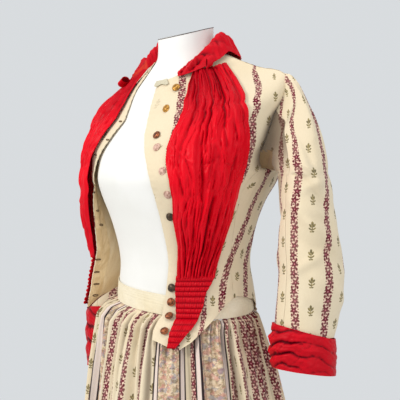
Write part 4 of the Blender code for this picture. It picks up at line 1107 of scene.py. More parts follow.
SKIRT_STRIPES = np.array((
    -50.0, -36.0, -27.0, -16.0, -10.5, 0.5, 12.3, 30.0, 46.8, 60.0, 73.5, 80.5, 88.0, 95.5, 103.0, 110.5,
    118.0, 134.0, 150.0, 158.5, 167.0, 175.5, 184.0, 200.0, 216.0, 224.5, 233.0, 241.5, 250.0, 266.0, 282.0,
    290.5, 299.0, 307.5, 316.0,
))
SKIRT_UNITS = np.arange(-3.0, 32.0)
SKIRT_BANDS = named(("angle", "band"), (
    (-45.0, -0.42), (-37.0, -0.33), (-33.0, -0.25), (-25.0, 0.25), (-21.0, 0.33), (20.5, 0.67), (24.0, 0.75),
    (38.0, 1.25), (41.5, 1.33), (47.5, 1.67), (51.5, 1.75), (68.0, 2.25), (70.5, 2.33), (124.0, 2.67),
    (127.0, 2.75), (142.0, 3.25), (145.0, 3.33), (190.0, 3.67), (193.0, 3.75), (208.0, 4.25), (211.0, 4.33),
    (256.0, 4.67), (259.0, 4.75), (274.0, 5.25), (277.0, 5.33), (315.0, 5.55),
))


STRIPE_HALF = 0.011
SPRIG_HALF = 0.0075


def true_width(share, gap):
    """A share of the way between two stripes, made so that stripe and sprig keep their woven width.

    Within 11 mm of a stripe and 7.5 mm of the middle, distance over the pitch is the change in stripe
    number; the plain ground between them takes up the rest, and a narrow gap shows no sprig.
    """
    gap = np.maximum(gap, 1e-4)
    near = np.minimum(STRIPE_HALF, 0.34 * gap)
    room = np.minimum(SPRIG_HALF, 0.5 * gap - near - 0.0005)
    middle = np.where(room > 0.0045, room, 0.0005)
    turned = np.minimum(share, 1.0 - share)
    away = turned * gap
    low, high = np.maximum(near / STRIPE_PITCH, 0.16), 0.5 - middle / STRIPE_PITCH
    ground = low + (high - low) * (away - near) / (0.5 * gap - middle - near)
    number = np.where(away < near, away / STRIPE_PITCH,
                      np.where(away > 0.5 * gap - middle, 0.5 - (0.5 * gap - away) / STRIPE_PITCH, ground))
    return np.where(share > 0.5, 1.0 - number, number)


def between_lines(lines, units, angle, metres):
    """The stripe number at an angle, for stripes at the angles given and metres to a degree."""
    out = np.full(np.shape(angle), units[0])
    for number, (low, high) in enumerate(zip(lines, lines[1:])):
        share = np.clip((angle - low) / (high - low), 0.0, 1.0)
        step = units[number + 1] - units[number]
        partial = true_width(share, (high - low) * metres / step) if step > 0.9 else share
        out = out + step * partial
    return out


def stripe_lines(rows, key):
    """The angles of every stripe of a table, at the keys given."""
    columns = list(rows)
    return [np.interp(key, rows[columns[0]], rows[label]) for label in columns[1:]]


def metres_per_degree(points, angle):
    """How many metres of cloth one degree covers along the rows of a grid."""
    across = path(points, 1)
    return np.abs(np.gradient(across, axis=1) / np.gradient(angle, axis=1))


def print_map(stripe, points, reference):
    """The print map: stripe number, and metres up the cloth, level with z along the reference row."""
    down = path(points, 0)
    up = points[reference, :, 2][None, :] - (down - down[reference][None, :])
    return np.stack([stripe, up], -1)


def shade_map(shade, points):
    """The shade map: how deep in shadow each point lies, from 0 to 1."""
    shade = np.clip(shade, 0.0, 1.0) + 0.0 * points[..., 0]
    return single_map(shade)


# Cloth pieces

SMALL_SEAM = 0.0035
# Columns and rows of each piece's grid; for the satin points, columns and steps in a shirred row.
GRIDS = {
    "front": (78, 140), "side": (36, 96), "back": (56, 120), "upper": (76, 110), "under": (50, 90),
    "satin_left": (136, 190), "satin_right": (82, 130), "point_left": (70, 7), "point_right": (44, 7),
    "cuff": (168, 52), "collar": (150, 24), "waistband": (240, 30), "form": (160, 120), "tab": (30, 16),
}


def shares(columns, rows):
    """Shares from 0 to 1 across a piece, as a row, and down it, as a column."""
    return np.linspace(0.0, 1.0, columns)[None, :], np.linspace(0.0, 1.0, rows)[:, None]


def seam_dip(x, width, y, pucker):
    """A sewn edge: the cloth dips along both side edges and puckers a little beside the stitches."""
    near = np.exp(-(x / SMALL_SEAM) ** 2) + np.exp(-((width - x) / SMALL_SEAM) ** 2)
    beside = np.exp(-(x / 0.010) ** 2) + np.exp(-((width - x) / 0.010) ** 2)
    ripple = np.sin(y / 0.0105 * 2.0 * np.pi + 3.0 * drift(y * 20.0, x * 15.0, 3))
    return -0.0005 * near + pucker * beside * ripple


def panel(word, upper_s, left, right, side, grid, point, crease_rows, materials, relief=None, seed=1,
          shifted=0.0):
    """A bodice piece between two edge lines, from its top to the basque's edge, with listed creases."""
    sizes = bpy.context.scene.dress_sizes
    name = word + "_" + WORDS[side]
    u, v = shares(*grid)
    hem_s = np.full_like(u, BASQUE_RING)
    hem_theta = left(hem_s) * (1.0 - u) + right(hem_s) * u
    hem_z = at(BASQUE_HEM, np.abs(hem_theta), "left_z" if side > 0 else "right_z")
    s = upper_s + (s_of_z(hem_z) - upper_s) * v
    theta = left(s) * (1.0 - u) + right(s) * u
    shift = np.degrees(0.5 * SEAM / ring_values(s)[..., COLUMN["half_width"]])
    theta = theta + shift * ((u <= 0.0) * 1.0 - (u >= 1.0) * 1.0)
    base = point(theta, s, np.full_like(theta, CLOTH))
    across, down = path(base, 1), path(base, 0)
    width = across[:, -1:]
    height = 1.5 * creases(across, down, crease_rows)
    height = height + 0.0006 * drift(across * 28.0, down * 17.0, seed)
    height = height + 0.00035 * drift(across * 90.0, down * 60.0, seed + 5)
    height = height + seam_dip(across, width, down, 0.00035)
    beside_arm = smooth((s - 5.4) / 0.6) * smooth((8.5 - s) / 0.4)
    from_arm = (1.0 - u if left in (front_line, right_front_line) else u) * width
    if left is not armhole_back:
        height = height - 0.0016 * beside_arm * np.exp(-(from_arm / 0.006) ** 2)
    outer = point(theta, s, CLOTH + height)
    inner_relief = 0.0 if relief is None else relief(theta, s, across, down)
    inner = point(theta, s, CLOTH - sizes.cloth + height - inner_relief)
    angle = np.abs(theta) + shifted
    lines = stripe_lines(BODICE_STRIPES, s)
    stripe = between_lines(lines, PRINT_UNITS, angle, metres_per_degree(base, np.abs(theta)))
    reference = int(np.argmin(np.abs(s.mean(1) - RING["underarm"])))
    # Painted shade beside the armhole on the fronts and side pieces, where the sleeve meets them.
    shade = 0.0 * u
    if left is not armhole_back:
        shade = 0.85 * beside_arm * np.exp(-(from_arm / 0.011) ** 2)
    maps = {"cloth": np.stack([across, -down], -1), "print": print_map(stripe, base, reference),
            "shade": shade_map(shade, base)}
    piece = cloth_wall("cloth_" + name, outer, inner, maps, materials)
    finish_sheet(piece, outer, "bodice_" + name)


# Creases of the fronts, sides and backs: from and to in metres across and down, width and height.
FRONT_CREASES = (
    (0.012, 0.010, 0.060, 0.085, 0.010, 0.0012),
    (0.150, 0.060, 0.096, 0.110, 0.008, 0.0016),
    (0.150, 0.078, 0.104, 0.136, 0.008, -0.0014),
    (0.120, 0.160, 0.128, 0.250, 0.009, 0.0014),
    (0.145, 0.170, 0.140, 0.270, 0.008, -0.0013),
    (0.165, 0.180, 0.150, 0.300, 0.010, 0.0012),
    (0.030, 0.120, 0.034, 0.260, 0.009, 0.0010),
    (0.010, 0.060, 0.016, 0.170, 0.006, -0.0007),
    (0.060, 0.300, 0.066, 0.390, 0.010, 0.0012),
    (0.100, 0.290, 0.090, 0.360, 0.009, -0.0010),
)
RIGHT_CREASES = (
    (0.010, 0.020, 0.050, 0.090, 0.010, 0.0012),
    (0.030, 0.150, 0.024, 0.300, 0.008, 0.0022),
    (0.052, 0.160, 0.050, 0.320, 0.007, -0.0022),
    (0.015, 0.180, 0.010, 0.350, 0.006, -0.0014),
    (0.070, 0.080, 0.060, 0.180, 0.010, 0.0014),
    (0.085, 0.200, 0.080, 0.340, 0.010, 0.0016),
)
SIDE_CREASES = (
    (0.030, 0.030, 0.022, 0.120, 0.008, 0.0014),
    (0.050, 0.050, 0.040, 0.140, 0.007, -0.0014),
    (0.014, 0.080, 0.020, 0.200, 0.006, 0.0010),
    (0.060, 0.150, 0.055, 0.260, 0.008, 0.0013),
    (0.030, 0.200, 0.034, 0.300, 0.008, -0.0010),
)
BACK_CREASES = (
    (0.030, 0.060, 0.085, 0.110, 0.010, 0.0013),
    (0.020, 0.110, 0.060, 0.170, 0.008, -0.0012),
    (0.110, 0.080, 0.112, 0.240, 0.012, 0.0010),
    (0.060, 0.240, 0.070, 0.360, 0.009, 0.0016),
    (0.100, 0.270, 0.096, 0.420, 0.009, -0.0014),
    (0.040, 0.300, 0.046, 0.400, 0.008, 0.0014),
)


def casing(theta, s, across, down):
    """The boned casing and the dart inside the right front: a raised band with a stitched edge."""
    middle = np.interp(s, [9.0, 10.1, 11.5, 13.6, 15.0], [76.0, 74.5, 68.0, 66.0, 65.0])
    away = np.minimum((np.abs(theta) - middle) / 2.6, 0.0)
    ends = smooth((s - 9.2) / 0.5) * smooth((15.0 - s) / 0.3)
    hem = np.exp(-((down[-1:] - down) / 0.004) ** 2)
    edge = np.exp(-((across - 0.030) / 0.0012) ** 2)
    return ends * 0.0012 * np.exp(-away ** 6) + 0.0006 * hem + 0.0006 * edge


def build_bodice():
    """Fronts, side pieces and backs."""
    colours = bpy.context.scene.dress_colours
    outside = printed_cotton("printed cotton", colours, False, quiet=True)
    inside = lining_cloth("bodice lining", colours, 0.030)
    plain_inside = plain_cloth("lining", colours.lining, linear(196, 172, 130), 0.4)
    for side in WORDS:
        edge = front_line if side > 0 else right_front_line
        panel("front", NECKLINE, edge, side_line, side, GRIDS["front"],
              lambda t, s, off, side=side: front_point(t, s, off, side),
              FRONT_CREASES if side > 0 else RIGHT_CREASES, [outside, plain_inside if side > 0 else inside],
              None if side > 0 else casing, seed=2 + side, shifted=0.0 if side > 0 else 16.0)
        panel("side", SIDE_PIECE_TOP, side_front_line, side_back_line, side, GRIDS["side"],
              lambda t, s, off, side=side: bodice_point(side * t, s, off), SIDE_CREASES,
              [outside, plain_inside], seed=6 + side)
        panel("back", NECKLINE, armhole_back, centre_back, side, GRIDS["back"],
              lambda t, s, off, side=side: bodice_point(side * t, s, off), BACK_CREASES,
              [outside, plain_inside], seed=9 + side)


def lining_cloth(name, palette, facing):
    """Linen with an olive-brown facing beside the free edge, both stained unevenly."""
    nodes = Nodes(name)
    normal, across, along = weave(nodes, 0.5)
    cloth = nodes.uv("cloth")
    x, _, _ = nodes.parts(cloth)
    stain = nodes.noise(cloth, 26.0, 4.0)
    linen = nodes.mix(nodes.between(stain, 0.35, 0.65), palette.lining, linear(232, 206, 164))
    brown = nodes.mix(nodes.between(nodes.noise(cloth, 60.0, 3.0), 0.4, 0.6), linear(238, 212, 168),
                      linear(218, 188, 142))
    ragged = nodes.plus(x, nodes.times(nodes.noise(cloth, 200.0, 2.0), 0.003))
    tone = nodes.mix(nodes.between(ragged, facing + 0.0035, facing + 0.0005), linen, brown)
    fine = nodes.between(nodes.plus(across, along), 0.7, 1.3, 0.0, 0.35)
    nodes.surface(Base_Color=nodes.mix(fine, tone, linear(200, 168, 120)), Roughness=0.9, Sheen_Weight=0.1,
                  Specular_IOR_Level=0.15, Normal=normal)
    return nodes.material


# Satin fronts: folds fan out from the neck, run down in long streaks and are drawn in at the waist.
# Each row: share across and down at both ends, width and height in metres.
NECK_FOLDS = (
    (0.10, 0.00, 0.02, 0.30, 0.0040, -0.0070), (0.17, 0.00, 0.10, 0.34, 0.0045, 0.0045),
    (0.27, 0.00, 0.21, 0.36, 0.0032, -0.0065), (0.36, 0.00, 0.33, 0.30, 0.0050, 0.0050),
    (0.47, 0.00, 0.45, 0.42, 0.0034, -0.0075), (0.56, 0.01, 0.58, 0.30, 0.0045, 0.0045),
    (0.66, 0.01, 0.70, 0.38, 0.0034, -0.0060), (0.78, 0.02, 0.84, 0.34, 0.0045, 0.0040),
    (0.88, 0.04, 0.93, 0.30, 0.0034, -0.0045), (0.20, 0.34, 0.16, 0.56, 0.0040, -0.0050),
    (0.33, 0.36, 0.30, 0.62, 0.0045, 0.0055), (0.40, 0.34, 0.42, 0.66, 0.0032, -0.0060),
    (0.58, 0.40, 0.50, 0.60, 0.0038, -0.0045), (0.66, 0.36, 0.70, 0.58, 0.0045, 0.0045),
    (0.82, 0.40, 0.76, 0.66, 0.0036, -0.0055), (0.10, 0.48, 0.20, 0.70, 0.0034, -0.0045),
    (0.24, 0.62, 0.28, 0.84, 0.0038, 0.0045), (0.52, 0.58, 0.46, 0.80, 0.0036, 0.0045),
    (0.60, 0.62, 0.54, 0.88, 0.0030, -0.0055), (0.72, 0.60, 0.66, 0.84, 0.0034, -0.0045),
    (0.90, 0.55, 0.78, 0.80, 0.0036, -0.0040), (0.34, 0.70, 0.38, 0.95, 0.0030, -0.0050),
    (0.14, 0.72, 0.20, 0.95, 0.0030, -0.0045), (0.05, 0.38, 0.30, 0.50, 0.0034, 0.0025),
    (0.44, 0.50, 0.62, 0.44, 0.0034, -0.0028), (0.70, 0.47, 0.90, 0.52, 0.0034, -0.0028),
)
SATIN_WIDTH = 0.17
SATIN_LENGTH = 0.33


def front_walls(theta, s, height, side):
    """Both faces of satin that lies on a front, its back at the height given."""
    satin = bpy.context.scene.dress_sizes.satin
    return [front_point(theta, s, height + SATIN - wall, side) for wall in (0.0, satin)]


def satin_front(word, side):
    """A gathered satin front, laid over its bodice front."""
    sizes = bpy.context.scene.dress_sizes
    u, v = shares(*GRIDS["satin_" + word])
    end = float(s_of_z(SHIRR_SPAN[word][0] - 0.004))
    top = 2.3 + 0.75 * u
    s = top + (end - top) * v
    inner, outer = at(PLASTRON, s, "inner_angle"), at(PLASTRON, s, "outer_angle")
    lean = 0.018 * wave(0.7 * v + 2.0 * u)
    spread = np.clip(u + lean * np.sin(np.pi * u), 0.0, 1.0)
    theta = inner + (outer - inner) * spread
    if side < 0:
        free = right_front_line(s) + at(RIGHT_STRIP, s, "angle")
        theta = free + (right_share(outer, s) - free) * spread
    arch = np.sin(np.pi * np.clip(u, 0.02, 0.98)) ** 0.6
    puff = at(PLASTRON, s, "puff") * arch
    if side < 0:
        puff = puff + at(RIGHT_STRIP, s, "extra_puff") * arch
    bend = (u + 0.022 * np.sin(2.0 * np.pi * (0.8 * v + 0.3)) * np.sin(np.pi * u)
            + 0.012 * drift(u * 5.0, v * 3.0, 4))
    drawn = 0.06 + 0.94 * smooth((v - 0.52) / 0.42)
    number = 5.5 * bend + 0.65 * drift(u * 4.0, v * 3.0, 3)
    broad = np.abs(np.cos(np.pi * number)) ** 0.8 * (0.55 + 0.45 * drift(u * 7.0, v * 5.0, 9))
    fine = np.abs(np.sin(np.pi * (11.0 * bend + 0.75 * drift(u * 6.0, v * 4.0, 8)))) ** 0.8
    pleats = np.abs(np.sin(np.pi * (16.0 * bend + 0.2 * drift(u * 8.0, v * 3.0, 2)))) ** 0.7
    folds = (sizes.satin_folds * 0.42 * broad * (0.5 + 0.5 * smooth(v / 0.2))
             + sizes.satin_folds * 0.60 * fine * drawn * (0.75 + 0.25 * drift(u * 9.0, v * 2.0, 5))
             + sizes.satin_folds * 0.30 * pleats * np.exp(-v / 0.10))
    network = np.exp(-(drift(u * 15.0 + drift(u * 6.0, v * 7.0, 1), v * 4.5, 6) / 0.13) ** 2)
    second = np.exp(-(drift(u * 24.0, v * 9.0 + drift(u * 9.0, v * 6.0, 4), 11) / 0.11) ** 2)
    folds = folds - sizes.satin_folds * (0.22 * network + 0.10 * second)
    folds = folds + sizes.satin_folds * 0.025 * drift(u * 70.0, v * 22.0, 6)
    fans = scaled_rows(NECK_FOLDS, SATIN_WIDTH, SATIN_LENGTH)
    folds = folds + creases(u * SATIN_WIDTH, v * SATIN_LENGTH, fans)
    edge = smooth(np.minimum(u, 1.0 - u) / 0.05) * (0.4 + 0.6 * smooth(v / 0.05))
    lift = CLOTH + (LAYER if side > 0 else RIGHT_LAYER) + puff
    folds = np.maximum(folds * (0.3 + 0.7 * edge), -0.6 * puff)
    outside, inside = front_walls(theta, s, lift + folds, side)
    # Painted shade: the depth map darkens the folds' valleys, more near the top and the bottom, and the top and
    # the lower part are darkened as a whole.
    ends = 0.40 + 0.60 * np.clip(np.exp(-(v / 0.30) ** 2) + smooth((v - 0.58) / 0.30), 0.0, 1.0)
    painted_end_shade = (0.60 * np.exp(-(v / 0.26) ** 2) * (0.6 + 0.4 * drift(u * 6.0, v * 6.0, 3))
              + 0.22 * smooth((v - 0.62) / 0.38))
    deep = depth_map(folds, 0.10, 0.0042) * ends[..., None]
    return outside, inside, deep + (1.0 - deep) * shade_map(painted_end_shade, outside)


def satin_point(word, side):
    """The shirred point: rows of drawn-in cloth with uneven puckers between the threads."""
    sizes = bpy.context.scene.dress_sizes
    count = sizes.shirring_rows
    columns, steps = GRIDS["point_" + word]
    u, v = shares(columns, count * steps + 1)
    top, tip = SHIRR_SPAN[word]
    z = top - 2.0 * SEAM + (tip - top) * v + 0.0 * u
    inner, outer = at(SHIRR, v, "inner_angle"), at(SHIRR, v, "outer_angle")
    s = s_of_z(z)
    extra = 0.0
    if side < 0:
        inner = right_front_line(s) + at(RIGHT_STRIP, s, "angle")
        outer = right_share(outer, s)
        extra = at(RIGHT_STRIP, s, "extra_puff") * np.sin(np.pi * np.clip(u, 0.25, 0.9))
    theta = inner + (outer - inner) * u
    place = count * v
    band = np.abs(np.sin(np.pi * place)) ** 0.7
    row = np.floor(np.clip(place, 0.0, count - 0.001))
    turn = u * (15.0 - 8.0 * v) + 0.37 * row + 0.2 * drift(u * 11.0, v * 9.0, 2)
    puckers = 0.5 + 0.5 * np.sin(2.0 * np.pi * turn)
    rough = 0.5 + 0.5 * drift(u * 45.0, place * 2.2, 7)
    lift = CLOTH + SHIRR_CLEARANCE + extra
    height = sizes.shirring * band * (0.30 + 0.45 * puckers + 0.35 * rough)
    outside, inside = front_walls(theta, s, lift + height, side)
    # Painted shade: darker where the puckers lie low, and a little darker throughout.
    deep = 0.22 + 0.50 * smooth((0.55 - height / sizes.shirring) / 0.5)
    return outside, inside, single_map(deep)


def build_satin():
    """Satin fronts and their shirred points."""
    colours = bpy.context.scene.dress_colours
    silk = satin_cloth("red satin", colours.satin, linear(206, 6, 26), 0.34)
    for side, word in WORDS.items():
        for name, node, walls in (("satin_front_", "plastron_", satin_front(word, side)),
                                  ("satin_point_", "shirring_", satin_point(word, side))):
            outside, inside, deep = walls
            maps = {"cloth": flat_map(outside), "depth": deep}
            piece = cloth_wall(name + word, outside, inside, maps, [silk])
            finish_sheet(piece, outside, node + word)


# Sleeve creases: angle and v at both ends, width and height. The radius turns angles to metres.
SLEEVE_CREASES = (
    (50.0, 0.17, 150.0, 0.20, 0.012, 0.0030),
    (30.0, 1.00, 118.0, 1.10, 0.006, 0.0014),
    (40.0, 1.30, 100.0, 1.24, 0.006, -0.0014),
    (70.0, 1.48, 132.0, 1.60, 0.006, 0.0014),
    (96.0, 1.80, 30.0, 1.92, 0.006, -0.0012),
    (0.0, 0.50, 20.0, 0.90, 0.007, 0.0012),
    (20.0, 0.10, 40.0, 0.60, 0.009, 0.0016),
    (-20.0, 0.12, -10.0, 0.70, 0.010, -0.0014),
    (60.0, 0.30, 74.0, 0.95, 0.009, -0.0016),
    (100.0, 0.75, 60.0, 1.05, 0.008, 0.0022),
    (120.0, 0.95, 40.0, 1.22, 0.008, -0.0026),
    (130.0, 1.15, 60.0, 1.38, 0.009, 0.0024),
    (110.0, 1.40, 20.0, 1.55, 0.009, -0.0020),
    (90.0, 1.62, 10.0, 1.78, 0.009, 0.0016),
    (-60.0, 0.80, 10.0, 1.10, 0.009, 0.0018),
    (-70.0, 1.20, 0.0, 1.36, 0.009, -0.0018),
    (180.0, 0.80, 210.0, 1.20, 0.009, 0.0020),
    (170.0, 1.20, 230.0, 1.42, 0.009, -0.0022),
    (190.0, 1.50, 240.0, 1.70, 0.009, 0.0018),
)
ARM_RADIUS = 0.050
ARM_LENGTH = 0.200
SLEEVE_REACH = 0.0022


def sleeve_piece(word, side, piece, materials):
    """One of a sleeve's two pieces, with pull folds at cap and elbow."""
    sizes = bpy.context.scene.dress_sizes
    columns, rows = GRIDS[piece]
    half = rows // 2 + 1
    v = np.concatenate([np.linspace(0.0, 1.0, half), np.linspace(1.0, 2.0, half)[1:]])[:, None]
    front, back = at(SLEEVE_SEAMS, v, "front_angle"), at(SLEEVE_SEAMS, v, "back_angle")
    low, high = (back, front) if piece == "upper" else (front, back + 360.0)
    share = np.linspace(0.0, 1.0, columns)[None, :]
    phi = (low + SLEEVE_GAP) * (1.0 - share) + (high - SLEEVE_GAP) * share
    grid_v = v + 0.0 * phi
    x = np.radians(phi) * ARM_RADIUS
    y = grid_v * ARM_LENGTH
    pulls = creases(x, y, scaled_rows(SLEEVE_CREASES, np.radians(ARM_RADIUS), ARM_LENGTH))
    height = 2.8 * pulls + 0.0006 * drift(x * 60.0, y * 40.0, 3 + side)
    gather = np.exp(-(grid_v / 0.10) ** 2) * (0.5 + 0.5 * np.cos(np.radians(phi)))
    height = height + 0.0010 * gather * np.sin(phi * 0.9) ** 2
    held = smooth(grid_v / 0.12) * smooth((2.0 - grid_v) / 0.10)
    height = height * (0.15 + 0.85 * held)
    seam = np.exp(-(share / 0.02) ** 2) + np.exp(-((1.0 - share) / 0.02) ** 2)
    height = height - 0.0004 * seam - 0.0015 * np.exp(-(grid_v / 0.03) ** 2)
    outer = sleeve_point(phi, grid_v, side, CLOTH + height)
    inner = sleeve_point(phi, grid_v, side, CLOTH - sizes.cloth + height)
    for wall in (outer, inner):
        wall[0] += SLEEVE_REACH * unit(wall[0] - wall[1])
    base = sleeve_point(phi, grid_v, side, np.full_like(phi, CLOTH))
    lines = stripe_lines(SLEEVE_STRIPES, grid_v)
    stripe = between_lines(lines, SLEEVE_UNITS, phi, metres_per_degree(base, phi))
    # Painted shade near the armhole: on the upper piece towards the underarm, on the under piece over its upper
    # part.
    under = np.exp(-(grid_v / 0.15) ** 2) * (0.5 - 0.5 * np.cos(np.radians(phi)))
    if piece == "under":
        under = np.exp(-(grid_v / 0.60) ** 4)
    maps = {"cloth": flat_map(base), "print": print_map(stripe, base, rows // 2) - np.array([0.0, 0.0175]),
            "shade": shade_map(0.80 * under, base)}
    name = "sleeve_" + piece + "_" + word
    thing = cloth_wall("cloth_" + name, outer, inner, maps, materials)
    finish_sheet(thing, outer, name)


def build_sleeves():
    """Two-piece sleeves, hollow, open at armhole and wrist."""
    colours = bpy.context.scene.dress_colours
    # The sleeves' lining is a darker tan than the bodice's: partly a guess at its colour, partly painted shade
    # where it shows at the armpit.
    materials = [printed_cotton("printed cotton of the sleeves", colours, False),
                 plain_cloth("sleeve lining", linear(150, 124, 88), linear(124, 100, 68), 0.4)]
    for side, word in WORDS.items():
        sleeve_piece(word, side, "upper", materials)
        sleeve_piece(word, side, "under", materials)


def cuff_walls(word, side):
    """A ruched cuff: slanting folds that gather at the outer side."""
    sizes = bpy.context.scene.dress_sizes
    columns, rows = GRIDS["cuff"]
    phi = (np.arange(columns) * 360.0 / columns)[None, :]
    v = np.linspace(0.0, 1.0, rows)[:, None]
    turn_x, turn_y = np.cos(np.radians(phi)), np.sin(np.radians(phi))
    inward = 0.5 - 0.5 * turn_x
    drawn = np.sin(np.radians(phi / 2.0)) ** 2 * 0.8 + 0.2
    slant = 0.35 * turn_y
    number = 3.4 * v + 1.5 * slant + 0.42 * drift(2.2 * turn_x + 1.6 * v, 2.0 * v + 2.2 * turn_y, 7)
    ridge = np.abs(np.cos(np.pi * number)) ** 0.6
    cracks = np.exp(-(drift(5.0 * turn_x + v, 5.0 * v + 5.0 * turn_y, 12) / 0.12) ** 2)
    second = 0.5 + 0.5 * wave(2.0 * number + 0.012 * phi)
    ends = np.sin(np.pi * np.clip(v, 0.04, 0.96)) ** 0.5
    rise = sizes.cuff_folds * drawn * (0.82 * ridge + 0.18 * second - 0.22 * cracks) * ends
    draws = np.exp(-((np.mod(phi + 180.0, 360.0) - 180.0) / 10.0) ** 2)
    rise = rise + 0.0010 * draws * np.abs(np.sin(np.pi * 5.0 * v)) * ends
    rise = rise + 0.0005 * drift(turn_x * 9.0, v * 14.0 + turn_y * 8.0, 4)
    edges = CUFFS[word]
    top = edges["top_outer"] + (edges["top_inner"] - edges["top_outer"]) * inward
    bottom = edges["bottom_outer"] + (edges["bottom_inner"] - edges["bottom_outer"]) * inward
    z = top + (bottom - top) * v
    held = np.maximum(z, SLEEVES[word]["z"][-1])
    around = phi + 0.0 * v
    outer = sleeve_ring(around, held, side, CLOTH + LAYER + SATIN + rise)
    inner = sleeve_ring(around, held, side, CLOTH + LAYER + SATIN + rise - sizes.satin - 0.3 * rise)
    outer[..., 2] = z
    inner[..., 2] = z
    # The third is painted shade, darker in the valleys between the folds.
    return outer, inner, depth_map(np.ascontiguousarray(rise.T), 0.24, 0.0020).transpose(1, 0, 2)


# Collar creases: metres along the collar and over its fold at both ends, width and height.
COLLAR_CREASES = (
    (0.005, 0.050, 0.060, 0.020, 0.0030, -0.0042), (0.020, 0.058, 0.075, 0.032, 0.0034, 0.0040),
    (0.040, 0.056, 0.085, 0.044, 0.0026, -0.0048), (0.060, 0.024, 0.100, 0.050, 0.0030, -0.0042),
    (0.085, 0.030, 0.120, 0.052, 0.0035, 0.0036), (0.110, 0.024, 0.135, 0.054, 0.0030, -0.0030),
    (0.150, 0.020, 0.175, 0.050, 0.0035, -0.0018), (0.190, 0.026, 0.220, 0.054, 0.0035, 0.0018),
    (0.240, 0.022, 0.260, 0.050, 0.0035, -0.0016),
)
COLLAR_LENGTH = 0.30
COLLAR_TURN = 0.06


def collar_walls(side):
    """A folded band of satin, slightly crumpled, rising from the neckline and turning over."""
    sizes = bpy.context.scene.dress_sizes
    columns, rows = GRIDS["collar"]
    q, t = shares(rows, columns)
    grid_t, grid_q = t + 0.0 * q, q + 0.0 * t
    crumple = 0.0016 * drift(grid_t * 40.0, grid_q * 3.0, 3 + side)
    crumple = crumple + 0.0009 * drift(grid_t * 110.0, grid_q * 4.0, 5)
    crumple = crumple + creases(grid_t * COLLAR_LENGTH, grid_q * COLLAR_TURN, COLLAR_CREASES)
    crumple = crumple * smooth(grid_q / 0.2) * smooth(grid_t / 0.02)
    outer = collar_point(grid_t, grid_q, side, SATIN / 2.0 + crumple)
    inner = collar_point(grid_t, grid_q, side, SATIN / 2.0 - sizes.satin + crumple)
    # The third is painted shade, darker in the valleys of the crumples.
    return outer, inner, depth_map(np.ascontiguousarray(crumple.T), 0.12, 0.0048).transpose(1, 0, 2)


# Collar loops: where along the collar, how far out and up, length and height.
LOOPS = (
    ("left", 0.28, 0.0054, 0.0048, 0.009, 0.016),
    ("right", 0.06, 0.0115, 0.0075, 0.020, 0.010),
)
LOOP_WIDTH = 0.011


def loop_walls(word, share, out, up, length, height):
    """A small folded loop: an oval ring of cloth beside the collar."""
    side = 1 if word == "left" else -1
    turn = np.linspace(0.0, 360.0, 41)[:-1][None, :]
    width = np.linspace(-0.5, 0.5, 7)[:, None] * LOOP_WIDTH
    grid_w, grid_turn = width + 0.0 * turn, turn + 0.0 * width
    middle = collar_point(np.array(share), np.array(1.0), side, 0.0)
    ahead = collar_point(np.array(share + 0.05), np.array(1.0), side, 0.0) - middle
    ahead = unit(ahead)
    away = unit(np.cross(ahead, UP))
    if np.dot(away, middle * LEVEL) < 0.0:
        away = -away
    centre = middle + away * out + UP * up
    walls = []
    for off in (SATIN / 2.0, -SATIN / 2.0):
        long = (length / 2.0 + off) * np.cos(np.radians(grid_turn))
        high = (height / 2.0 + off) * np.sin(np.radians(grid_turn))
        walls.append(centre + away * long[..., None] + UP * high[..., None] + ahead * grid_w[..., None])
    return walls


def build_trimmings():
    """Cuffs, collar halves and their loops."""
    silk = satin_cloth("red satin of the trimmings", linear(204, 8, 28), linear(170, 6, 22), 0.36)
    # The collar's inside takes a lighter, more orange copy of the satin: partly its own orange, partly painted
    # light on the lit inner face.
    warm = satin_cloth("inside of the trimmings", linear(214, 54, 32), linear(190, 36, 24), 0.42)
    # The loops' inner faces take a darker copy of the satin as painted shade inside the loops.
    dark = satin_cloth("dark satin", linear(150, 8, 24), linear(110, 4, 16), 0.36)
    for side, word in WORDS.items():
        outer, inner, deep = cuff_walls(word, side)
        maps = {"cloth": flat_map(outer, True), "depth": wrapped(deep)}
        piece = cloth_wall("satin_cuff_" + word, outer, inner, maps, [silk], True)
        finish_sheet(piece, outer, "cuff_" + word,
                     True)
        outer, inner, deep = collar_walls(side)
        maps = {"cloth": flat_map(outer), "depth": deep}
        piece = cloth_wall("satin_collar_" + word, outer, inner, maps, [silk, warm])
        finish_sheet(piece, outer, "collar_" + word)
    for row in LOOPS:
        outer, inner = loop_walls(*row)
        flat = flat_map(outer, True)
        maps = {"cloth": flat, "depth": 0.0 * flat}
        piece = cloth_wall("satin_loop_" + row[0], outer, inner, maps, [silk, dark], True)
        finish_sheet(piece, outer, "collar_loop_" + row[0],
                     True)


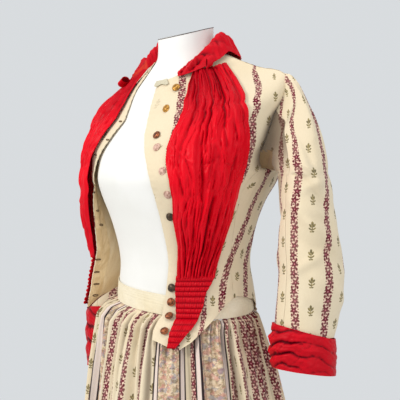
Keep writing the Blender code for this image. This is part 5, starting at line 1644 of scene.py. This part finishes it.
def build_waistband():
    """The cream waistband, with lines of stitches near its top."""
    colours = bpy.context.scene.dress_colours
    columns, rows = GRIDS["waistband"]
    theta = (np.arange(columns) * 360.0 / columns)[None, :]
    share = np.linspace(0.0, 1.06, rows)[:, None]
    s = s_of_z(band_bottom(theta) + WAISTBAND_HEIGHT * (1.0 - share))
    around = theta + 0.0 * share
    base = body_point(around, s)
    out = outward(body_point, around, s)
    lines = np.zeros_like(share)
    for level in (0.12, 0.24, 0.36, 0.50):
        lines = lines + np.exp(-((share - level) / 0.022) ** 2)
    soft = 0.0006 * np.sin(np.radians(theta * 30.0) + 2.0 * drift(theta * 0.2, share, 2))
    soft = soft * smooth((share - 0.4) / 0.3)
    height = soft - 0.0004 * lines + 0.0003 * drift(theta * 0.25, share * 6.0, 5)
    outer = base + out * (0.0005 + WAISTBAND_THICKNESS + height)[..., None]
    inner = base + out * (0.0005 + 0.0006 + 0.0 * height)[..., None]
    cotton = plain_cloth("waistband cotton", colours.plain, linear(222, 206, 170), 0.6)
    piece = cloth_wall("cloth_waistband", outer, inner, {"cloth": flat_map(outer, True)}, [cotton], True)
    finish_sheet(piece, outer, "skirt_waistband", True)


SKIRT_PANELS = {
    "skirt_front": (-45.0, 45.0),
    "skirt_side_left": (45.0, 125.0),
    "skirt_back": (125.0, 235.0),
    "skirt_side_right": (235.0, 315.0),
}
# Deep folds given one by one: angle at the waist and lower down, heights where each starts and ends,
# width in degrees, and depth.
SKIRT_FOLDS = (
    (-18.0, -20.0, 0.930, 0.45, 2.2, -0.009), (3.0, 5.0, 0.930, 0.30, 2.6, 0.008),
    (17.0, 18.0, 0.920, 0.40, 2.0, -0.010), (31.0, 30.0, 0.900, 0.20, 3.2, 0.007),
    (44.0, 45.5, 0.930, 0.30, 2.2, -0.011), (60.0, 59.0, 0.910, 0.20, 3.0, 0.007),
    (74.0, 72.0, 0.930, 0.35, 2.2, -0.009), (86.0, 88.0, 0.920, 0.25, 2.6, 0.008),
    (97.0, 99.0, 0.930, 0.35, 2.0, -0.009), (112.0, 113.0, 0.920, 0.25, 2.8, 0.008),
    (128.0, 127.0, 0.930, 0.30, 2.2, -0.010), (150.0, 151.0, 0.920, 0.20, 3.0, 0.009),
    (168.0, 170.0, 0.930, 0.40, 2.4, -0.010), (189.0, 188.0, 0.920, 0.25, 3.0, 0.009),
    (207.0, 209.0, 0.930, 0.30, 2.2, -0.010), (228.0, 226.0, 0.920, 0.20, 2.8, 0.008),
    (246.0, 247.0, 0.930, 0.35, 2.2, -0.009), (268.0, 270.0, 0.920, 0.25, 3.0, 0.008),
    (288.0, 287.0, 0.930, 0.30, 2.2, -0.010), (306.0, 305.0, 0.920, 0.25, 2.8, 0.008),
    (-34.0, -35.0, 0.930, 0.30, 2.4, -0.009),
)


def skirt_height(theta, level):
    """Small gathers that die out below the waist, and the listed deep folds."""
    sizes = bpy.context.scene.dress_sizes
    turns = theta / 360.0
    near = np.exp(-((SKIRT_TOP - level) / 0.045)) * smooth((SKIRT_TOP - level) / 0.010)
    uneven = turns + 0.004 * wave(5.0 * turns + 0.1) + 0.002 * drift(theta * 0.2, level * 9.0, 3)
    out = sizes.gathers * near * wave(116.0 * uneven)
    mid = np.exp(-((SKIRT_TOP - level) / 0.20)) * smooth((SKIRT_TOP - level) / 0.030)
    out = out + 0.0022 * mid * wave(67.0 * uneven + 0.4)
    for top_angle, low_angle, start, end, width, depth in SKIRT_FOLDS:
        share = np.clip((start - level) / (start - end), 0.0, 1.0)
        middle = top_angle + (low_angle - top_angle) * share + 1.2 * np.sin(level * 11.0 + top_angle)
        away = np.mod(theta - middle + 180.0, 360.0) - 180.0
        grow = smooth((start - level) / 0.07) * (1.0 - 0.6 * smooth((end + 0.15 - level) / 0.3))
        out = out + 0.55 * depth * grow * np.exp(-(away / (width * (1.0 + 0.6 * share))) ** 2)
    return out


def skirt_marks(theta, along, angles):
    """Metres along each row to the angles given; past a width's ends at the row's mean step."""
    step = (along[:, -1:] - along[:, :1]) / (theta[-1] - theta[0])
    inside = np.clip(angles, theta[0], theta[-1])
    spot = np.interp(inside, theta, np.arange(theta.size))
    low = np.minimum(spot.astype(int), theta.size - 2)
    part = spot - low
    marks = along[:, low] * (1.0 - part) + along[:, low + 1] * part + (angles - inside) * step
    return list(marks.T[:, :, None])


def build_skirt():
    """Four gathered widths of the striped cotton, from the waistband to the hem."""
    sizes = bpy.context.scene.dress_sizes
    colours = bpy.context.scene.dress_colours
    materials = [printed_cotton("printed cotton of the skirt", colours, True),
                 plain_cloth("skirt inside", linear(228, 212, 176), linear(210, 190, 150), 0.4)]
    level = np.concatenate([np.linspace(SKIRT_TOP, 0.90, 36), np.linspace(0.90, 0.70, 28)[1:],
                            np.linspace(0.70, HEM_HEIGHT, 28)[1:]])[:, None]
    for name, (begin, end) in SKIRT_PANELS.items():
        columns = int((end - begin) * 2.1) + 1
        theta = np.linspace(begin + 0.05, end - 0.05, columns)[None, :]
        turned = np.where(theta > 180.0, theta - 360.0, theta) + 0.0 * level
        height = level + 0.0 * theta
        z = height + skirt_rise(turned, height)
        extra = skirt_height(turned, height) - 0.0062 * np.exp(-((SKIRT_TOP - height) / 0.006) ** 2)
        outer = skirt_point(turned, height, 1.0, CLOTH / 2.0 + extra)
        inner = skirt_point(turned, height, 1.0, CLOTH / 2.0 - sizes.cloth + extra)
        outer[..., 2] = z
        inner[..., 2] = z
        along = path(outer, 1)
        stripe = between_lines(skirt_marks(theta[0], along, SKIRT_STRIPES), SKIRT_UNITS, along, 1.0)
        marks = skirt_marks(theta[0], along, SKIRT_BANDS["angle"])
        band = between_lines(marks, SKIRT_BANDS["band"], along, 1.0)
        # Painted shade: darker in the valleys of the gathers and deep folds, carried in the shade map.
        deep = 0.55 * depth_map(extra, 0.10, 0.0045) + 0.25 * depth_map(extra, 0.03, 0.0030)
        maps = {"cloth": flat_map(outer), "print": np.stack([stripe, z], -1),
                "bands": single_map(band), "shade": deep}
        piece = cloth_wall("cloth_" + name, outer, inner, maps, materials)
        finish_sheet(piece, outer, name)


# Form, buttons and small sewing


CAP_STEPS = (0.02, 0.35, 0.7, 0.93, 0.985)


def neck_cut(points, s):
    """Tilts the neck's flat top a little, fading to nothing at the neck's base."""
    share = 1.0 - smooth(s / 1.5)
    points = points.copy()
    points[..., 2] += share * (0.074 * points[..., 0] - 0.075 * points[..., 1])
    return points


def build_form():
    """The torso's cover: fine rings of the figure, capped at the slanted neck and at the foot."""
    colours = bpy.context.scene.dress_colours
    columns, rows = GRIDS["form"]
    s = np.linspace(0.0, len(BODY) - 1.0, rows)[:, None]
    theta = (np.arange(columns) * 360.0 / columns)[None, :]
    ring = neck_cut(body_point(theta + 0.0 * s, s + 0.0 * theta), s)
    caps = []
    for line, inset in ((ring[0], 1), (ring[-1], -1)):
        middle = line.mean(0)
        caps.append(np.stack([middle + (line - middle) * k for k in CAP_STEPS][::inset]))
    points = np.concatenate([caps[0], ring, caps[1]])
    spot = np.arange(len(points) * columns).reshape(-1, columns)
    faces = np.concatenate([quads(wrapped(spot)), cap(spot[0]), cap(spot[-1][::-1])])
    torso = closed_object("form_cover", points, faces, [form_cloth("form jersey", colours)])
    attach(torso, "root")
    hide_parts("form_torso")
    neck = np.full(columns, 0.03)
    rim = neck_cut(body_point(theta[0], neck), neck)
    # A thin dark tube along the neck's top edge, drawn as the dark line seen there.
    dark_line = tube("form_neck_dark_line", rim, 0.0006, 8,
                [plain_cloth("neck dark line", linear(74, 60, 52), linear(50, 40, 36), 0.3)])
    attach(dark_line, "root")
    brushed = steel("brushed steel")
    for node in ("form_pole", "form_base"):
        for index in range(len(bpy.data.objects[node].material_slots)):
            bpy.data.objects[node].material_slots[index].material = brushed


# Radius and height shares of a button from its back to the middle of its face.
BUTTON_LINE = ((0.05, 0.00), (0.62, 0.00), (0.74, 0.04), (0.97, 0.34), (1.00, 0.46), (0.95, 0.60), (0.86, 0.66),
               (0.78, 0.60), (0.66, 0.74), (0.45, 0.90), (0.22, 0.98), (0.03, 1.00))
BUTTON_KINDS = ("gold", "gold", "copper", "pearl", "pearl", "pearl", "dark", "dark", "copper", "copper",
                "copper")
BUTTON_RADIUS = 0.0070
BUTTON_DEPTH = 0.0044


def build_buttons():
    """Turned buttons, each on the seat and facing of its solid."""
    sizes = bpy.context.scene.dress_sizes
    colours = bpy.context.scene.dress_colours
    kinds = {
        "gold": button_metal("gold buttons", colours.gold, linear(120, 80, 30), 0.7),
        "copper": button_metal("copper buttons", colours.copper, linear(84, 44, 26), 0.6),
        "dark": button_metal("dark buttons", linear(86, 66, 46), linear(44, 36, 28), 0.5),
        "pearl": button_metal("pale buttons", colours.pearl, linear(160, 118, 100), 0.1),
    }
    thread = plain_cloth("button thread", linear(196, 168, 120), linear(150, 116, 70), 0.3)
    sides = sizes.button_sides
    turn = np.arange(sides) * 2.0 * np.pi / sides
    out, high = np.array(BUTTON_LINE).T[:, :, None]
    spot = np.arange(len(out) * sides).reshape(-1, sides)
    faces = np.concatenate([quads(wrapped(spot)), cap(spot[0]), cap(spot[-1][::-1])])
    for number, kind in enumerate(BUTTON_KINDS):
        node = "button_%02d" % (number + 1)
        solid = bpy.data.objects[node].data
        co = np.zeros(len(solid.vertices) * 3)
        solid.vertices.foreach_get("co", co)
        co = co.reshape(-1, 3)
        middle = (co.min(0) + co.max(0)) / 2.0
        _, axes = np.linalg.eigh(np.cov((co - co.mean(0)).T))
        normal = axes[:, 0]
        if np.dot(normal[:2], middle[:2]) < 0.0:
            normal = -normal
        lowest = float(((co - middle) @ normal).min())
        one = unit(np.cross(UP, normal))
        two = np.cross(normal, one)
        radius = out * BUTTON_RADIUS * (1.0 + 0.02 * np.cos(3.0 * turn + number)[None, :])
        rise = lowest + high * BUTTON_DEPTH + 0.0 * radius
        dents = 0.00035 * np.cos(8.0 * turn + number)[None, :] * np.exp(-((out - 0.62) / 0.15) ** 2)
        rise = rise + dents * (high > 0.5)
        round_it = np.cos(turn)[None, :, None] * one + np.sin(turn)[None, :, None] * two
        points = middle + radius[..., None] * round_it + rise[..., None] * normal
        button = closed_object("turned_" + node, points, faces, [kinds[kind]])
        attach(button, "root")
        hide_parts(node)
        t = np.linspace(0.0, 1.0, 9)[:, None]
        lean = np.cos(number * 2.1)
        start = middle + normal * (lowest + 0.0004) + one * 0.0040
        tuft = (start + one * 0.0055 * t + two * (0.0030 * lean * t - 0.0012 * np.sin(np.pi * t))
                + normal * (0.0002 + 0.0010 * np.sin(np.pi * t)))
        end = tube("thread_%02d" % (number + 1), tuft, 0.0004, 6, [thread], closed=False)
        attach(end, "root")


# Buttonholes of the right front: angle, ring position, and 1 outside or -1 inside.
HOLES = ((42.2, 9.83, -1), (52.0, 10.7, -1), (56.8, 11.3, -1), (56.5, 12.93, -1), (55.8, 13.63, -1),
         (55.5, 14.3, -1), (56.0, 14.9, -1), (17.8, 5.1, 1), (22.2, 6.3, 1), (35.0, 7.33, 1))


def build_sewing():
    """Worked buttonholes on the right front, and the small turned tab at the left front's top."""
    brown = plain_cloth("buttonhole thread", linear(112, 82, 50), linear(80, 56, 34), 0.6)
    cloth = bpy.data.objects["cloth_front_right"]
    turn = np.linspace(0.0, 2.0 * np.pi, 29)[:-1]
    for number, (angle, s, face) in enumerate(HOLES):
        long = 1.2 if s < 9.0 else 2.6
        ring_theta = angle + long * np.cos(turn)
        ring_s = s + np.sin(turn) * 0.032
        guess = front_point(ring_theta, ring_s, np.full_like(turn, CLOTH + 0.006 * face), -1)
        found = np.array([rest_on(cloth, place, 0.0003) for place in guess])
        toward = unit((found - guess).mean(0))
        rim = guess + ((found - guess) @ toward)[:, None] * toward
        hole = tube("buttonhole_%02d" % (number + 1), rim, 0.0007, 6, [brown])
        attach(hole, "root")
    share = np.linspace(0.0, 0.5, 50)
    edge_s = np.full_like(share, BASQUE_RING)
    theta = right_front_line(edge_s) * (1.0 - share) + side_line(edge_s) * share
    hem_s = s_of_z(at(BASQUE_HEM, theta, "right_z"))
    theta = right_front_line(hem_s) * (1.0 - share) + side_line(hem_s) * share
    line = front_point(theta, hem_s, np.full_like(share, 0.0002), -1) + 0.0006 * UP
    wine = plain_cloth("binding", linear(122, 12, 26), linear(88, 8, 20), 0.4)
    binding = tube("hem_binding", line, 0.0013, 8, [wine], closed=False)
    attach(binding, "root")
    u, v = shares(*GRIDS["tab"])
    theta = (0.8 + 19.5 * u) * (1.0 - v) + (0.4 + 21.0 * u) * v
    s = 2.12 + (0.38 + 0.06 * np.sin(9.0 * u)) * v + 0.0 * u
    lift = 0.0009 + 0.0012 * v + 0.0005 * drift(u * 9.0, v * 5.0, 3)
    outer, inner = (bodice_point(theta, s, CLOTH + lift + extra) for extra in (0.0012, 0.0))
    cotton = plain_cloth("turned tab", linear(204, 196, 172), linear(184, 174, 148), 0.6)
    tab = cloth_wall("front_tab", outer, inner, {"cloth": flat_map(outer)}, [cotton])
    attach(tab, "root")


def rest_on(cloth, place, height):
    """The nearest point of a piece to a place, raised off its face."""
    found, point, normal, _ = cloth.closest_point_on_mesh(Vector(place.tolist()))
    if not found:
        raise RuntimeError("no cloth under a stitch of " + cloth.name)
    return np.array(point) + np.array(normal) * height


# The floor's rim in radius and height, and the lamps: name, place, size, watts and tint.
FLOOR_LINE = ((0.02, -0.004), (1.5, -0.004), (1.5, 0.0), (0.02, 0.0))
FLOOR_SIDES = 64
LAMPS = (
    ("key", (-1.0, -3.0, 2.4), 0.8, 64.0, (1.0, 0.98, 0.95)),
    ("fill", (3.2, -0.6, 1.6), 2.0, 27.0, (0.95, 0.97, 1.0)),
    ("top", (0.4, -0.8, 3.4), 1.2, 16.0, (1.0, 1.0, 1.0)),
)
LAMP_TARGET = (0.0, 0.0, 1.1)
SKY = (0.690, 0.715, 0.735, 1.0)
CAMERA_AZIMUTH = 45.0
CAMERA_DISTANCE = 2.6
CAMERA_HEIGHT = 1.135
CAMERA_ASIDE = 0.024
CAMERA_LENS = 138.0


def build_stage():
    """Plain pale floor, soft studio light and the camera at the photo's angle."""
    scene = bpy.context.scene
    colours = scene.dress_colours
    turn = np.arange(FLOOR_SIDES) * 2.0 * np.pi / FLOOR_SIDES
    points = np.stack([np.stack([r * np.cos(turn), r * np.sin(turn), np.full(FLOOR_SIDES, z)], -1)
                       for r, z in FLOOR_LINE])
    spot = np.arange(points.size // 3).reshape(-1, FLOOR_SIDES)
    faces = quads(wrapped(np.concatenate([spot, spot[:1]])))
    floor = closed_object("studio_floor", points, faces, [floor_paint("studio paper", colours)])
    world = bpy.data.worlds.new("studio")
    world.use_nodes = True
    background = world.node_tree.nodes["Background"]
    background.inputs["Color"].default_value = SKY
    background.inputs["Strength"].default_value = 1.0
    scene.world = world
    for name, place, size, power, tint in LAMPS:
        lamp = bpy.data.lights.new(name, "AREA")
        lamp.size = size
        lamp.energy = power
        lamp.color = tint
        thing = bpy.data.objects.new(name, lamp)
        scene.collection.objects.link(thing)
        ahead = Vector(LAMP_TARGET) - Vector(place)
        thing.matrix_world = Matrix.Translation(place) @ ahead.to_track_quat("-Z", "Y").to_matrix().to_4x4()
    scene.view_settings.view_transform = "Standard"
    azimuth = np.radians(CAMERA_AZIMUTH)
    toward = np.array([np.sin(azimuth), -np.cos(azimuth), 0.0])
    sideways = np.array([np.cos(azimuth), np.sin(azimuth), 0.0])
    target = UP * CAMERA_HEIGHT + sideways * CAMERA_ASIDE
    lens = bpy.data.cameras.new("photo camera")
    lens.lens = CAMERA_LENS
    lens.sensor_width = 36.0
    lens.dof.use_dof = False
    camera = bpy.data.objects.new("photo camera", lens)
    scene.collection.objects.link(camera)
    look = Vector((-toward).tolist()).to_track_quat("-Z", "Y").to_matrix().to_4x4()
    camera.matrix_world = Matrix.Translation((target + toward * CAMERA_DISTANCE).tolist()) @ look
    scene.camera = camera


# Add-on


class DRESS_OT_form(bpy.types.Operator):
    """Covers the dress form in white jersey and gives its stand brushed steel"""
    bl_idname = "dress.form"
    bl_label = "Dress form"

    def execute(self, context):
        build_form()
        return {"FINISHED"}


class DRESS_OT_bodice(bpy.types.Operator):
    """Builds fronts, side pieces and backs of printed cotton"""
    bl_idname = "dress.bodice"
    bl_label = "Bodice"

    def execute(self, context):
        build_bodice()
        return {"FINISHED"}


class DRESS_OT_satin(bpy.types.Operator):
    """Builds the gathered satin fronts and their shirred points"""
    bl_idname = "dress.satin"
    bl_label = "Satin fronts"

    def execute(self, context):
        build_satin()
        return {"FINISHED"}


class DRESS_OT_sleeves(bpy.types.Operator):
    """Builds the two-piece sleeves"""
    bl_idname = "dress.sleeves"
    bl_label = "Sleeves"

    def execute(self, context):
        build_sleeves()
        return {"FINISHED"}


class DRESS_OT_trimmings(bpy.types.Operator):
    """Builds cuffs, collar and collar loops"""
    bl_idname = "dress.trimmings"
    bl_label = "Cuffs and collar"

    def execute(self, context):
        build_trimmings()
        return {"FINISHED"}


class DRESS_OT_waistband(bpy.types.Operator):
    """Builds the cream waistband"""
    bl_idname = "dress.waistband"
    bl_label = "Waistband"

    def execute(self, context):
        build_waistband()
        return {"FINISHED"}


class DRESS_OT_skirt(bpy.types.Operator):
    """Builds the four gathered skirt widths"""
    bl_idname = "dress.skirt"
    bl_label = "Skirt"

    def execute(self, context):
        build_skirt()
        return {"FINISHED"}


class DRESS_OT_buttons(bpy.types.Operator):
    """Builds the buttons and their threads"""
    bl_idname = "dress.buttons"
    bl_label = "Buttons"

    def execute(self, context):
        build_buttons()
        return {"FINISHED"}


class DRESS_OT_sewing(bpy.types.Operator):
    """Builds the worked buttonholes and other small sewing"""
    bl_idname = "dress.sewing"
    bl_label = "Small sewing"

    def execute(self, context):
        build_sewing()
        return {"FINISHED"}


class DRESS_OT_stage(bpy.types.Operator):
    """Sets up the floor, lights and camera"""
    bl_idname = "dress.stage"
    bl_label = "Studio"

    def execute(self, context):
        build_stage()
        return {"FINISHED"}


STEPS = (DRESS_OT_form, DRESS_OT_bodice, DRESS_OT_satin, DRESS_OT_sleeves, DRESS_OT_trimmings,
         DRESS_OT_waistband, DRESS_OT_skirt, DRESS_OT_buttons, DRESS_OT_sewing, DRESS_OT_stage)


class DRESS_PT_panel(bpy.types.Panel):
    """Sizes, colours and build steps of the dress"""
    bl_label = "Dress"
    bl_idname = "DRESS_PT_panel"
    bl_space_type = "VIEW_3D"
    bl_region_type = "UI"
    bl_category = "Dress"

    def draw(self, context):
        for group in (context.scene.dress_sizes, context.scene.dress_colours):
            for label in group.bl_rna.properties.keys():
                if label not in ("rna_type", "name"):
                    self.layout.prop(group, label)
        for step in STEPS:
            self.layout.operator(step.bl_idname)


CLASSES = (DressSizes, DressColours) + STEPS + (DRESS_PT_panel,)


def register():
    for item in CLASSES:
        bpy.utils.register_class(item)
    bpy.types.Scene.dress_sizes = PointerProperty(type=DressSizes)
    bpy.types.Scene.dress_colours = PointerProperty(type=DressColours)


def unregister():
    del bpy.types.Scene.dress_colours
    del bpy.types.Scene.dress_sizes
    for item in reversed(CLASSES):
        bpy.utils.unregister_class(item)


def plain(box):
    """A box as plain lists of numbers."""
    return [[float(number) for number in corner] for corner in box]


def main():
    """Registers the add-on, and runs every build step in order."""
    register()
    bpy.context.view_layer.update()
    for step in STEPS:
        group, label = step.bl_idname.split(".")
        result = getattr(getattr(bpy.ops, group), label)()
        if result != {"FINISHED"}:
            raise RuntimeError(step.bl_label + " did not finish")


if __name__ == "__main__":
    main()
